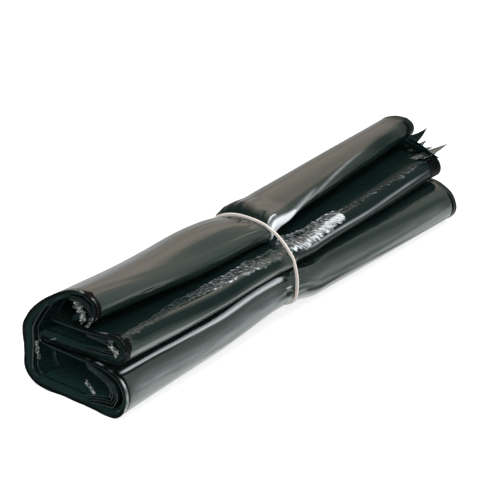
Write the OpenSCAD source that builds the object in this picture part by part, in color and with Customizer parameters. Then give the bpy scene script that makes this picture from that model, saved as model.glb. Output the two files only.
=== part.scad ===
// A pack of flat-folded bin bags, rolled into three loose lobes and held by a rubber band.
// The roll lies along X on its flat underside, with its folded front towards -Y.
// The stack of bags is one continuous wall. It is drawn as a line of points in the section (reach from
// the back, height), given its thickness, and lofted from the near end over the waist to the far end.

/* [Bag stack] */
// Length of the folded bags along the roll
roll_length = 350; // [250:1:450]
// Thickness of the pressed stack of bags
stack_t = 5; // [3.5:0.1:6.5]
// Free gap between turns that lie on each other
turn_gap = 1.2; // [0.8:0.1:2]
// Free room between the back wall and the turn inside it
back_room = 6; // [3:0.5:9]
// Length of the rounded nose of the middle lobe
nose_length = 6; // [4.5:0.1:8]
// Place of the inner end of the hem, as a share of the reach of the top lobe
hem_share = 0.66; // [0.5:0.01:0.8]
// How far the ends of the stack weave in and out
end_wave = 1.6; // [0:0.1:3]

/* [Near end] */
// Reach of the low lobe from the back of the roll
near_reach = 88; // [72:1:106]
// Free height inside the low lobe
near_low_space = 25; // [18:0.5:32]
// Distance from the front of the low lobe to its crest
near_crest_back = 20; // [14:1:26]
// Opening of the crease between the low and middle lobes
near_crease = 1.5; // [0.8:0.1:3]
// Free height inside the middle lobe
near_mid_space = 9; // [6:0.5:12]
// Reach of the middle lobe
near_mid_reach = 88; // [72:0.5:106]
// Rise of the nose of the middle lobe over its inner turns
near_mid_tilt = 4.5; // [2:0.5:7]
// Height of the hem above the middle lobe
near_hem_lift = 0.2; // [0:0.1:4]
// Rise of the hem from its inner end to its fold
near_hem_tilt = 5.5; // [3:0.5:8]
// Free height inside the tucked hem
near_hem_space = 9.8; // [6:0.1:13]
// Reach of the top lobe
near_top_reach = 64; // [53:1:77]
// Distance from the back to the crest of the top lobe
near_crest = 50; // [41:1:60]
// Rise of the crest over the fold of the hem
near_crest_rise = 1; // [0:0.1:2]
// Fullness of the upper back, from 1 for a straight slope to 2 for a round one
near_fullness = 1.4; // [1.15:0.05:2]

/* [Waist under the band] */
// Place of the band along the roll, as a distance from the near end
waist_from_near = 176; // [140:1:215]
// Reach of the low lobe
waist_reach = 82.5; // [69:0.5:98]
// Free height inside the low lobe
waist_low_space = 16.8; // [13:0.1:21]
// Distance from the front of the low lobe to its crest
waist_crest_back = 16; // [12:0.5:20]
// Opening of the crease between the low and middle lobes
waist_crease = 0.8; // [0.6:0.1:1.5]
// Free height inside the middle lobe
waist_mid_space = 6; // [4:0.5:8]
// Reach of the middle lobe
waist_mid_reach = 80.5; // [66:0.5:96]
// Free height inside the tucked hem
waist_hem_space = 1.2; // [0.8:0.1:2]
// Reach of the top lobe
waist_top_reach = 61; // [51:1:73]
// Distance from the back to the crest of the top lobe
waist_crest = 46; // [38:1:55]
// Distance by which the band draws the back in
waist_back = 4; // [3:0.1:5]
// Fullness of the upper back, from 1 for a straight slope to 2 for a round one
waist_fullness = 2.2; // [1.8:0.05:2.5]
// Height of the underside above the floor
waist_raise = 4.5; // [3:0.1:6]
// Length over which the underside comes down to the floor again
sag_length = 55; // [45:1:66]
// Reach of the rounding at the two lower corners
waist_corner = 28; // [22:1:34]

/* [Far end] */
// Reach of the low lobe
far_reach = 83; // [70:1:100]
// Free height inside the low lobe
far_low_space = 17.5; // [13:0.5:22]
// Distance from the front of the low lobe to its crest
far_crest_back = 16; // [12:0.5:20]
// Opening of the crease between the low and middle lobes
far_crease = 0.8; // [0.6:0.1:1.5]
// Free height inside the middle lobe
far_mid_space = 6; // [4:0.5:8]
// Reach of the middle lobe
far_mid_reach = 68.5; // [57:0.5:82]
// Rise of the nose of the middle lobe over its inner turns
far_mid_tilt = 2; // [0:0.5:4]
// Height of the hem above the middle lobe
far_hem_lift = 3.5; // [2:0.1:5]
// Rise of the hem from its inner end to its fold
far_hem_tilt = 2; // [0:0.5:4]
// Free height inside the tucked hem
far_hem_space = 2.8; // [2:0.1:4]
// Reach of the top lobe
far_top_reach = 42; // [36:1:50]
// Distance from the back to the crest of the top lobe
far_crest = 32; // [26:1:38]
// Rise of the crest over the fold of the hem
far_crest_rise = 2.4; // [1:0.1:4]
// Fullness of the upper back, from 1 for a straight slope to 2 for a round one
far_fullness = 2.2; // [1.8:0.05:2.5]
// Reach of the rounding at the two lower corners, at both ends
end_corner = 14; // [11:0.5:17]
// Length over which the roll swells behind the band
shoulder = 9; // [6:0.5:14]

/* [Gathers] */
// Depth of the gathers that run out from the band
gather_depth = 1.3; // [0:0.1:2]
// Length over which the gathers die away
gather_length = 34; // [20:1:50]

/* [Rubber band] */
// Width of the band along the roll
band_w = 2; // [1.5:0.1:3]
// Thickness of the band
band_t = 1; // [0.8:0.1:1.4]
// Free gap between the band and the film
band_gap = 0.2; // [0.1:0.05:0.4]

/* [Hidden] */
half_t = stack_t / 2;
x_near = -roll_length / 2;
x_far = roll_length / 2;
x_waist = x_near + waist_from_near;
// Film on each side of the band that keeps the section of the waist
groove = band_w / 2 + 0.5;
// Lengths of the two halves beside it
near_run = waist_from_near - groove;
far_run = x_far - x_waist - groove;
// Height of the back where it starts to slope, as a share of the height of the top
back_share = 0.5;
// Inner end of the valley floor, as a share of the reach of the middle lobe
floor_share = 0.28;
// Steps in which each round stretch of the middle line is drawn
fold_n = 4;
slope_n = 6;
corner_n = 3;
// Place of the first point of each stretch on the middle line
i_hook = 2;
i_slope = i_hook + fold_n + 1;
i_corner = i_slope + slope_n + 1;
i_front = i_corner + corner_n + 2;
i_crest = i_front + corner_n + 1;
i_turn = i_crest + 4;
i_nose = i_turn + fold_n + 3;
// Film colours
film = [0.035, 0.04, 0.035];
rubber = [0.93, 0.84, 0.76];

// Sizes of a section: 0 reach, 1 low space, 2 crest back, 3 crease, 4 middle space, 5 middle reach,
// 6 middle tilt, 7 hem lift, 8 hem tilt, 9 hem space, 10 top reach, 11 fullness, 12 corner, 13 crest,
// 14 crest rise, 15 back
near_sizes = [
    near_reach, near_low_space, near_crest_back, near_crease, near_mid_space, near_mid_reach,
    near_mid_tilt, near_hem_lift, near_hem_tilt, near_hem_space, near_top_reach, near_fullness,
    end_corner, near_crest, near_crest_rise, 0
];
waist_sizes = [
    waist_reach, waist_low_space, waist_crest_back, waist_crease, waist_mid_space, waist_mid_reach,
    0.5, 0.3, 0.4, waist_hem_space, waist_top_reach, waist_fullness,
    waist_corner, waist_crest, 0.5, waist_back
];
far_sizes = [
    far_reach, far_low_space, far_crest_back, far_crease, far_mid_space, far_mid_reach,
    far_mid_tilt, far_hem_lift, far_hem_tilt, far_hem_space, far_top_reach, far_fullness,
    end_corner, far_crest, far_crest_rise, 0
];
// How each size changes along the far half: 0 swells over the shoulder, 1 runs evenly to the end and
// less than 1 changes sooner near the band
run = [1, 0, 1, 0, 0, 1, 0, 0, 0, 0, 0.7, 0, 0, 0, 0, 0];

function ease(u) = u * u * (3 - 2 * u);
function clamp(u) = min(1, max(0, u));

// Share of the end section at x, for a size that changes in the given way
function end_share(x, way) =
    let (d = max(0, abs(x - x_waist) - groove))
    x < x_waist
        ? d / near_run
        : way > 0
            ? pow(d / far_run, way)
            : 0.8 * ease(clamp(d / shoulder)) + 0.2 * d / far_run;

function sizes_at(x) =
    let (end = x < x_waist ? near_sizes : far_sizes)
    [for (i = [0 : len(end) - 1])
        let (w = end_share(x, run[i]))
        waist_sizes[i] * (1 - w) + end[i] * w];

// Points of an ellipse arc with semi-axes a and b round c, from angle p to angle q in n steps
function arc(c, a, b, p, q, n) =
    [for (i = [0 : n])
        let (w = p + (q - p) * i / n)
        [c[0] + a * cos(w), c[1] + b * sin(w)]];

// Points of the sloping back, from the crest of the top lobe down to the upright part
function slope(c, a, b, fullness, n) =
    [for (i = [0 : n])
        let (w = 90 * i / n)
        [c[0] - a * pow(sin(w), 2 / fullness), c[1] + b * pow(cos(w), 2 / fullness)]];

// Middle line of the stack in a section of the given sizes, from the hem to the inner end of the valley
// floor. The underside is at the height low.
function middle_line(v, low) =
    let (
        back_s = v[15] + half_t,
        front_s = v[0] - half_t,
        // Levels of the passes, from the underside up to the fold of the hem
        z0 = low + half_t,
        z1 = z0 + stack_t + v[1],
        z2 = z1 + stack_t + v[3],
        z3 = z2 + stack_t + v[4],
        z4 = z3 + stack_t + turn_gap + v[7],
        z5 = z4 + v[8] + stack_t + v[9],
        // Hem and the fold at its front
        hook_r = (stack_t + v[9]) / 2,
        hook_s = v[10] - half_t - hook_r,
        hem_s = v[10] * hem_share,
        // Sloping and upright back
        crest_s = min(v[13], hook_s - 1),
        crest_z = z5 + v[14],
        back_z = z5 * back_share,
        corner_a = v[12] - half_t,
        corner_b = min(v[12] * 0.85, (back_z - z0) * 0.9),
        // Low lobe
        low_b = (z1 - z0) / 2,
        low_crest = front_s - v[2],
        // Turn between the low and middle lobes
        turn_r = (z2 - z1) / 2,
        turn_s = v[15] + stack_t + back_room + half_t + turn_r,
        // Middle lobe
        nose_b = (z3 - z2) / 2,
        nose_s = v[5] - half_t - nose_length,
        floor_s = v[5] * floor_share
    )
    concat(
        [[hem_s, z4], [(2 * hem_s + hook_s) / 3, z4 + v[8] * 0.4]],
        arc([hook_s, z5 - hook_r], hook_r, hook_r, -90, 90, fold_n),
        slope([crest_s, back_z], crest_s - back_s, crest_z - back_z, v[11], slope_n),
        arc([back_s + corner_a, z0 + corner_b], corner_a, corner_b, 180, 270, corner_n),
        [[(back_s + front_s) / 2, z0]],
        arc([front_s - corner_a, z0 + low_b], corner_a, low_b, -90, 0, corner_n),
        arc([low_crest, z0 + low_b], v[2], low_b, 45, 90, 1),
        [[(2 * low_crest + turn_s) / 3, z1], [(low_crest + 2 * turn_s) / 3, z1]],
        arc([turn_s, z1 + turn_r], turn_r, turn_r, 270, 90, fold_n),
        [[(2 * turn_s + nose_s) / 3, z2 + v[6] * 0.1], [(turn_s + 2 * nose_s) / 3, z2 + v[6] * 0.5]],
        arc([nose_s, z2 + nose_b + v[6]], nose_length, nose_b, -90, 90, fold_n),
        [[(2 * nose_s + floor_s) / 3, z3 + v[6] * 0.5], [(nose_s + 2 * floor_s) / 3, z3 + v[6] * 0.1]],
        [[floor_s, z3]]
    );

// Unit direction of a line of points at point i
function direction(p, i) =
    let (d = p[min(i + 1, len(p) - 1)] - p[max(i - 1, 0)])
    d / norm(d);

// The same line with a point of a smooth curve between each two
function smooth(p) =
    concat(
        [for (i = [0 : len(p) - 2])
            let (bulge = (direction(p, i) - direction(p, i + 1)) * norm(p[i + 1] - p[i]) / 8)
            each [p[i], (p[i] + p[i + 1]) / 2 + bulge]],
        [p[len(p) - 1]]
    );

// How much the gathers swell the film at point k of the middle line: fully on top and at the back, less on
// the fronts of the low and middle lobes and not at all inside
function swell(k) =
    k > i_hook && k < i_corner ? 1
        : (k > i_front && k <= i_crest) || (k > i_nose && k < i_nose + fold_n) ? 0.7
        : 0;

// One closed ring of the stack at x, first along its outer side, then back along its inner side
function ring(x) =
    let (
        d = max(0, abs(x - x_waist) - groove),
        low = waist_raise * (1 - ease(clamp(d / sag_length))),
        v = sizes_at(x),
        line = [for (p = smooth(middle_line(v, low))) [max(p[0], v[15] + half_t), max(p[1], low + half_t)]],
        n = len(line) - 1,
        fade = min(1, d / 5) * exp(-2.5 * d / gather_length),
        side = [for (i = [0 : n]) let (t = direction(line, i)) [-t[1], t[0]]],
        puff = [for (i = [0 : n])
            let (w = (swell(floor(i / 2)) + swell(ceil(i / 2))) / 2)
            gather_depth * fade * w * (sin(i * 163) * 0.6 + sin(i * 101 + x * 2) * 0.4)]
    )
    concat(
        [for (i = [0 : n]) line[i] - side[i] * (half_t + puff[i])],
        [for (i = [n : -1 : 0]) line[i] + side[i] * half_t]
    );

// How far point i of a ring lies inside the end of the roll
function weave(i, n, phase) =
    let (k = i < n / 2 ? i : n - 1 - i)
    end_wave * (0.5 + 0.3 * sin(k * 23 + phase) + 0.2 * sin(k * 61 + 2 * phase));

// Places at which the loft has a ring
near_steps = [1, 0.93, 0.78, 0.6, 0.44, 0.31, 0.22, 0.15, 0.1, 0.06, 0.03, 0];
far_steps = [0, 2, 4, 6.5, 9, 12, 17, 24, 35, 52, 76, 106, 140];
stations = concat(
    [for (u = near_steps) x_waist - groove - u * near_run],
    [for (u = far_steps) x_waist + groove + u * far_run / 152],
    [x_far - 6, x_far]
);

module bag_roll() {
    rings = [for (x = stations) ring(x)];
    n = len(rings[0]);
    last = len(stations) - 1;
    half = n / 2;
    points = [for (j = [0 : last])
        for (i = [0 : n - 1])
            [
                stations[j]
                    + (j == 0 ? weave(i, n, 40) : 0)
                    - (j == last ? weave(i, n, 200) : 0),
                near_reach / 2 - rings[j][i][0],
                rings[j][i][1]
            ]];
    sides = [for (j = [0 : last - 1])
        for (i = [0 : n - 1])
            let (a = j * n + i, b = j * n + (i + 1) % n)
            each [[a, b, b + n], [a, b + n, a + n]]];
    ends = [for (i = [0 : half - 2])
        let (a = i, b = i + 1, c = n - 2 - i, d = n - 1 - i, e = last * n)
        each [[a, c, b], [a, d, c], [e + a, e + b, e + c], [e + a, e + c, e + d]]];
    color(film)
        polyhedron(points, concat(sides, ends));
}

// Outline that a tight band takes round the waist
module waist_outline() {
    hull()
        polygon([for (p = ring(x_waist)) [near_reach / 2 - p[0], p[1]]]);
}

module rubber_band() {
    color(rubber)
        translate([x_waist - band_w / 2, 0, 0])
            rotate([90, 0, 90])
                linear_extrude(band_w)
                    difference() {
                        offset(r = band_gap + band_t)
                            waist_outline();
                        offset(r = band_gap)
                            waist_outline();
                    }
}

bag_roll();

rubber_band();
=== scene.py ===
"""Looks of a pack of folded bin bags that is rolled into loose lobes and held by a rubber band.

The sizes in the classes are in millimetres, as in the part's source. A section has two coordinates: the
reach s from the back of the roll and the height z over the floor. Meshes are made in metres.
"""

import logging
import math
from dataclasses import astuple, dataclass, field
from enum import Enum
from typing import Iterable, Sequence

import bmesh
import bpy
import numpy as np
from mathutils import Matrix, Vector


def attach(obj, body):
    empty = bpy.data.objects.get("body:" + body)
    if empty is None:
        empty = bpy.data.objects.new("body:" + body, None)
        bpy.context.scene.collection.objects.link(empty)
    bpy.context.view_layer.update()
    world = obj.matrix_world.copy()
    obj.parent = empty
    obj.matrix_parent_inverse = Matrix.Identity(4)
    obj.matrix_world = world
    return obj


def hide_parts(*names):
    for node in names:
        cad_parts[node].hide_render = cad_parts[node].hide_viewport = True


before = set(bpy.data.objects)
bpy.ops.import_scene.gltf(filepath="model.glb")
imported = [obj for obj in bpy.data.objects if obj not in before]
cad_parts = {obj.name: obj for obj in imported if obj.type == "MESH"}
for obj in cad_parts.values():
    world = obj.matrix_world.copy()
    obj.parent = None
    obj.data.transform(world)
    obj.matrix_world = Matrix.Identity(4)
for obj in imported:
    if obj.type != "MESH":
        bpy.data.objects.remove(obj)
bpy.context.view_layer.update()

log = logging.getLogger("bin_bag_roll")
MM = 0.001
Triple = tuple[float, float, float]
Faces = list[tuple[int, ...]]


class Domain(Enum):
    """Kinds of node tree that the node writer works in."""

    GEOMETRY = "GeometryNodeTree"
    SHADER = "ShaderNodeTree"


class Wall(Enum):
    """Sides of the stack's wall: the outer one shows on the lobes, the inner one lines their hollows."""

    OUTER = -1.0
    INNER = 1.0


class End(Enum):
    """Ends of the roll, by the way that points out of them along X."""

    NEAR = -1.0
    FAR = 1.0


@dataclass(frozen=True)
class SectionSizes:
    """Sizes of the folded wall in one section: reaches from its back, free heights, tilts and lifts."""

    reach: float = 0.0
    low_space: float = 0.0
    crest_back: float = 0.0
    crease: float = 0.0
    mid_space: float = 0.0
    mid_reach: float = 0.0
    mid_tilt: float = 0.0
    hem_lift: float = 0.0
    hem_tilt: float = 0.0
    hem_space: float = 0.0
    top_reach: float = 0.0
    fullness: float = 0.0
    corner: float = 0.0
    crest: float = 0.0
    crest_rise: float = 0.0
    back: float = 0.0

    def row(self) -> np.ndarray:
        """Returns the sizes as one row of numbers."""
        return np.array(astuple(self), float)


def ease(u: np.ndarray | float) -> np.ndarray | float:
    """Returns a smooth step of u between 0 and 1."""
    u = np.clip(u, 0.0, 1.0)
    return u * u * (3.0 - 2.0 * u)


def bell(u: np.ndarray | float, centre: float, width: np.ndarray | float) -> np.ndarray | float:
    """Returns a smooth hump of u that is 1 at its centre and nearly 0 at twice its width from there."""
    return np.exp(-((u - centre) / width) ** 2)


def third(start: float, stop: float) -> float:
    """Returns the place a third of the way from start to stop."""
    return (2 * start + stop) / 3


def arc(centre: tuple[float, float], a: float, b: float, start: float, stop: float, steps: int) -> np.ndarray:
    """Points of an ellipse arc in the section.

    Args:
        centre: Its centre, as reach and height.
        a: Half its width.
        b: Half its height.
        start: First angle, in degrees.
        stop: Last angle, in degrees.
        steps: Number of steps between them.

    Returns:
        An array of points, one a row.
    """
    w = np.radians(np.linspace(start, stop, steps + 1))
    return np.stack([centre[0] + a * np.cos(w), centre[1] + b * np.sin(w)], axis=1)


def directions(line: np.ndarray) -> np.ndarray:
    """Returns the unit direction of a line at each of its points."""
    d = np.empty_like(line)
    d[1:-1] = line[2:] - line[:-2]
    d[0] = line[1] - line[0]
    d[-1] = line[-1] - line[-2]
    return d / np.linalg.norm(d, axis=1, keepdims=True)


def smoothed(line: np.ndarray, rounds: int) -> np.ndarray:
    """A line with points of a smooth curve put between its own.

    Args:
        line: The points, one a row.
        rounds: How often each piece is halved.

    Returns:
        The denser line. Each of the first points is still on it.
    """
    for _ in range(rounds):
        d = directions(line)
        length = np.linalg.norm(np.diff(line, axis=0), axis=1, keepdims=True)
        middle = (line[:-1] + line[1:]) / 2 + (d[:-1] - d[1:]) * length / 8
        denser = np.empty((2 * len(line) - 1, 2))
        denser[0::2] = line
        denser[1::2] = middle
        line = denser
    return line


@dataclass
class FoldedStack:
    """The pressed stack of sacks, as one folded line that changes its shape along the roll.

    The line is given at the near end, at the waist under the band and at the far end. On the far half a size
    with a way follows that power of the distance from the waist, and the others swell over the shoulders.
    The bulges are added round their place on each half.
    """

    roll_length: float = 350.0
    stack_t: float = 5.0
    turn_gap: float = 1.2
    back_room: float = 6.0
    nose_length: float = 6.0
    hem_share: float = 0.66
    waist_x: float = 1.0
    far_middle: float = 90.0
    groove: float = 1.5
    waist_raise: float = 5.2
    sag_lengths: tuple[float, float] = (75.0, 28.0)
    shoulders: tuple[float, float] = (9.0, 40.0)
    swell_shares: Triple = (0.45, 0.38, 0.17)
    bulge_place: float = 45.0
    bulge_onset: float = 8.0
    back_share: float = 0.5
    floor_share: float = 0.28
    hem_bend: float = 0.4
    mid_bends: tuple[float, float] = (0.1, 0.5)
    corner_squash: float = 0.85
    corner_room: float = 0.9
    halvings: int = 4
    shown_step: float = 0.8
    back_step: float = 1.7
    hidden_step: float = 3.6
    part_limits: tuple[int, int] = (2, 32)
    near: SectionSizes = SectionSizes(
        reach=88, low_space=25, crest_back=20, crease=1.5, mid_space=9, mid_reach=88, mid_tilt=4.5,
        hem_lift=0.2, hem_tilt=5.5, hem_space=9.8, top_reach=64, fullness=1.4, corner=14, crest=50,
        crest_rise=1)
    waist: SectionSizes = SectionSizes(
        reach=82.5, low_space=17.2, crest_back=16, crease=0.8, mid_space=3.4, mid_reach=80.5, mid_tilt=0.5,
        hem_lift=0.3, hem_tilt=0.4, hem_space=1.2, top_reach=61, fullness=2.2, corner=28, crest=46,
        crest_rise=0.5, back=4)
    far: SectionSizes = SectionSizes(
        reach=83, low_space=17.5, crest_back=16, crease=0.8, mid_space=6, mid_reach=68.5, mid_tilt=2,
        hem_lift=3.5, hem_tilt=2, hem_space=2.8, top_reach=42, fullness=2.2, corner=14, crest=34.5,
        crest_rise=0.4, back=4)
    near_bulge: SectionSizes = SectionSizes(
        low_space=2.5, mid_space=-2.5, hem_space=1.5, crest_rise=4, back=-2.2)
    far_bulge: SectionSizes = SectionSizes(low_space=3.2, mid_space=-2.6, hem_lift=-0.6)
    far_ways: SectionSizes = SectionSizes(reach=1, crest_back=1, mid_reach=1, top_reach=0.7)
    stretches: dict[str, tuple[int, int]] = field(init=False)
    samples: np.ndarray = field(init=False)
    path: np.ndarray = field(init=False)

    def __post_init__(self) -> None:
        """Chooses where the line is sampled, which is the same in every section."""
        counts = {"hem": 2, "hook": 5, "back": 7, "heel": 4, "under": 1, "toe": 4, "brow": 2, "pass": 2,
                  "turn": 5, "shelf": 2, "nose": 5, "valley": 3}
        first = np.concatenate([[0], np.cumsum(list(counts.values()))])
        self.stretches = {n: (int(a), int(b)) for n, a, b in zip(counts, first[:-1], first[1:])}
        places = (-self.half_length, self.waist_x, self.far_middle, self.half_length)
        lines = [smoothed(self.corners(x), 1) for x in places]
        lengths = np.max([np.linalg.norm(np.diff(p, axis=0), axis=1) for p in lines], axis=0)
        lengths = lengths[0::2] + lengths[1::2]
        steps = np.full(len(lengths), self.shown_step)
        for name, step in {"hem": self.hidden_step, "back": self.back_step, "heel": self.back_step,
                           "under": self.hidden_step, "turn": self.hidden_step}.items():
            steps[self.stretches[name][0]:self.stretches[name][1]] = step
        steps[[self.stretches["pass"][0], self.stretches["shelf"][1] - 1]] = self.back_step
        steps[[self.stretches["pass"][1] - 1, self.stretches["shelf"][0], -1]] = self.hidden_step
        parts = np.clip(np.round(lengths / steps), *self.part_limits).astype(int)
        self.samples = np.concatenate([np.arange(n) / n + k for k, n in enumerate(parts)] + [[len(parts)]])
        self.path = self.run(-self.half_length)

    @property
    def half_t(self) -> float:
        """Half the thickness of the stack."""
        return self.stack_t / 2

    @property
    def half_length(self) -> float:
        """Half the length of the roll."""
        return self.roll_length / 2

    def every(self, step: int) -> np.ndarray:
        """Returns the numbers of every so many samples, with the last one."""
        return np.unique(np.concatenate([np.arange(0, len(self.samples), step), [len(self.samples) - 1]]))

    def away(self, x: float) -> float:
        """Returns how far x lies outside the groove of the band."""
        return max(0.0, abs(x - self.waist_x) - self.groove)

    def low(self, x: float) -> float:
        """Returns the height of the underside at x."""
        length = self.sag_lengths[int(x > self.waist_x)]
        return self.waist_raise * (1.0 - ease(self.away(x) / length))

    def sizes(self, x: float) -> SectionSizes:
        """Returns the sizes of the section at one place along the roll."""
        d = self.away(x)
        rise = bell(d, self.bulge_place, self.bulge_place) * (1.0 - math.exp(-d / self.bulge_onset))
        if x < self.waist_x:
            share = d / (self.half_length + self.waist_x - self.groove)
            end, bulge = self.near.row(), self.near_bulge.row()
        else:
            run = self.half_length - self.waist_x - self.groove
            steep, gentle = (1.0 - max(0.0, 1.0 - d / length) ** 3 for length in self.shoulders)
            growths = (steep, gentle, d / run)
            swell = sum(part * growth for part, growth in zip(self.swell_shares, growths))
            share = np.array([(d / run) ** way if way else swell for way in self.far_ways.row()])
            end, bulge = self.far.row(), self.far_bulge.row()
        return SectionSizes(*(self.waist.row() * (1.0 - share) + end * share + bulge * rise))

    def corners(self, x: float) -> np.ndarray:
        """The points that the folded line is drawn through in one section.

        Args:
            x: The place of the section along the roll.

        Returns:
            The points from the hem to the inner end of the valley floor.
        """
        v = self.sizes(x)
        h, t = self.half_t, self.stack_t
        back_s, front_s = v.back + h, v.reach - h
        z0 = self.low(x) + h
        z1 = z0 + t + v.low_space
        z2 = z1 + t + v.crease
        z3 = z2 + t + v.mid_space
        z4 = z3 + t + self.turn_gap + v.hem_lift
        z5 = z4 + v.hem_tilt + t + v.hem_space
        hook_r = (t + v.hem_space) / 2
        hook_s = v.top_reach - h - hook_r
        hem_s = v.top_reach * self.hem_share
        crest_s, crest_z = min(v.crest, hook_s - 1), z5 + v.crest_rise
        back_z = z5 * self.back_share
        corner_a = v.corner - h
        corner_b = min(v.corner * self.corner_squash, (back_z - z0) * self.corner_room)
        low_b, low_crest = (z1 - z0) / 2, front_s - v.crest_back
        turn_r = (z2 - z1) / 2
        turn_s = v.back + t + self.back_room + h + turn_r
        nose_b, nose_s = (z3 - z2) / 2, v.mid_reach - h - self.nose_length
        floor_s = v.mid_reach * self.floor_share
        inner_bend, outer_bend = (v.mid_tilt * share for share in self.mid_bends)
        w = np.radians(np.linspace(0, 90, 7))
        slope = np.stack([crest_s - (crest_s - back_s) * np.sin(w) ** (2 / v.fullness),
                          back_z + (crest_z - back_z) * np.abs(np.cos(w)) ** (2 / v.fullness)], axis=1)
        return np.concatenate([
            [[hem_s, z4], [third(hem_s, hook_s), z4 + v.hem_tilt * self.hem_bend]],
            arc((hook_s, z5 - hook_r), hook_r, hook_r, -90, 90, 4),
            slope,
            arc((back_s + corner_a, z0 + corner_b), corner_a, corner_b, 180, 270, 3),
            [[(back_s + front_s) / 2, z0]],
            arc((front_s - corner_a, z0 + low_b), corner_a, low_b, -90, 0, 3),
            arc((low_crest, z0 + low_b), v.crest_back, low_b, 45, 90, 1),
            [[third(low_crest, turn_s), z1], [third(turn_s, low_crest), z1]],
            arc((turn_s, z1 + turn_r), turn_r, turn_r, 270, 90, 4),
            [[third(turn_s, nose_s), z2 + inner_bend], [third(nose_s, turn_s), z2 + outer_bend]],
            arc((nose_s, z2 + nose_b + v.mid_tilt), self.nose_length, nose_b, -90, 90, 4),
            [[third(nose_s, floor_s), z3 + outer_bend], [third(floor_s, nose_s), z3 + inner_bend],
             [floor_s, z3]],
        ])

    def line(self, x: float) -> np.ndarray:
        """Returns the sampled middle line of the stack at x, as reach and height."""
        fine = smoothed(self.corners(x), self.halvings)
        at = np.arange(len(fine)) / 2 ** self.halvings
        line = np.stack([np.interp(self.samples, at, fine[:, i]) for i in range(2)], axis=1)
        line[:, 0] = np.maximum(line[:, 0], self.sizes(x).back + self.half_t)
        line[:, 1] = np.maximum(line[:, 1], self.low(x) + self.half_t)
        return line

    def across(self, x: float) -> np.ndarray:
        """Returns the unit vectors across the wall at x, from its outer to its inner side."""
        d = directions(self.line(x))
        return np.stack([-d[:, 1], d[:, 0]], axis=1)

    def points(self, x: np.ndarray, share: float | np.ndarray) -> np.ndarray:
        """Points of a sheet that runs through the wall.

        Args:
            x: The places of its rows along the roll.
            share: Its place in the wall, from -1 at the outer side to 1 at the inner one, for all samples
                or one for each.

        Returns:
            An array of rows by samples by three coordinates, in millimetres.
        """
        depth = np.broadcast_to(share, len(self.samples))[:, None] * self.half_t
        return np.array([self.placed(place, self.line(place) + self.across(place) * depth) for place in x])

    def placed(self, x: float | np.ndarray, flat: np.ndarray) -> np.ndarray:
        """Returns points given as reach and height at x, or each at its own x, as points of the roll."""
        return np.stack([np.full(len(flat), x), self.near.reach / 2 - flat[:, 0], flat[:, 1]], axis=1)

    def run(self, x: float) -> np.ndarray:
        """Returns how far each sample of the section at x lies from the hem, along the line."""
        return np.concatenate([[0], np.cumsum(np.linalg.norm(np.diff(self.line(x), axis=0), axis=1))])

    def from_knot(self, run: np.ndarray, knot: float) -> np.ndarray:
        """Returns how far each sample lies from a knot, from what run gave for the section."""
        return run - np.interp(knot, self.samples, run)

    def ribbon(self, x: float, knot: float, reach: np.ndarray, lift: float) -> np.ndarray:
        """Points of a narrow strip that lies on the outer side.

        Args:
            x: The place of its section along the roll.
            knot: The knot of the folded line that it follows.
            reach: Distances of its points from the knot, along the line.
            lift: Its height over the outer side.

        Returns:
            One point of the roll for each distance.
        """
        away, line, side = self.from_knot(self.run(x), knot), self.line(x), self.across(x)
        outer = line - side * (self.half_t + lift)
        return self.placed(x, np.stack([np.interp(reach, away, outer[:, i]) for i in range(2)], axis=1))

    def mask(self, values: dict[str, float | tuple[float, float]]) -> np.ndarray:
        """A value for each sample, given by the stretches of the line.

        Args:
            values: The value of each stretch, or its values at the stretch's first and last point.
                A stretch that isn't named has 0.

        Returns:
            One value a sample, running evenly between the points of the line.
        """
        knots = np.zeros(max(stop for _, stop in self.stretches.values()))
        for name, value in values.items():
            first, stop = self.stretches[name]
            ends = value if isinstance(value, tuple) else (value, value)
            knots[first:stop] = np.linspace(ends[0], ends[1], stop - first)
        return np.interp(self.samples, np.arange(len(knots)), knots)


def linked(name: str, data: bpy.types.ID) -> bpy.types.Object:
    """Returns a new object with the data, at the origin and linked to the scene."""
    obj = bpy.data.objects.new(name, data)
    bpy.context.scene.collection.objects.link(obj)
    return obj


def mesh_object(
    name: str, points: np.ndarray, faces: Sequence[Sequence[int]], values: dict[str, np.ndarray]
) -> bpy.types.Object:
    """A mesh object at the origin, smooth shaded, with attributes on its points.

    Args:
        name: Name of the object.
        points: Its points in millimetres.
        faces: Lists of point numbers.
        values: Attribute names with one number or one vector a point.

    Returns:
        The object, linked to the scene.
    """
    mesh = bpy.data.meshes.new(name)
    mesh.from_pydata((points * MM).tolist(), [], faces)
    for key, value in values.items():
        value = np.asarray(value, np.float32)
        kind = "FLOAT_VECTOR" if value.ndim == 2 else "FLOAT"
        attribute = mesh.attributes.new(key, kind, "POINT")
        attribute.data.foreach_set("vector" if value.ndim == 2 else "value", value.ravel())
    mesh.shade_smooth()
    mesh.update()
    return linked(name, mesh)


def grid_faces(rows: int, columns: int, first: int, flip: bool) -> Faces:
    """Quads between the points of a grid.

    Args:
        rows: Number of rows of points.
        columns: Points in each row.
        first: Number of the grid's first point.
        flip: True to turn the faces over.

    Returns:
        The quads as lists of point numbers.
    """
    a = first + (np.arange(rows - 1)[:, None] * columns + np.arange(columns - 1)[None]).ravel()
    quads = np.stack([a, a + 1, a + columns + 1, a + columns], axis=1)
    return [tuple(q) for q in (quads[:, ::-1] if flip else quads).tolist()]


def tube_faces(rings: int, ring: int, first: int) -> Faces:
    """Faces of a tube with a cap at each end.

    Args:
        rings: Number of rings of points.
        ring: Points in each ring, the last of which repeats the first.
        first: Number of the tube's first point.

    Returns:
        The faces as lists of point numbers.
    """
    start, stop = (tuple(range(n, n + ring - 1)) for n in (first, first + (rings - 1) * ring))
    return [*grid_faces(rings, ring, first, False), start, stop[::-1]]


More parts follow.
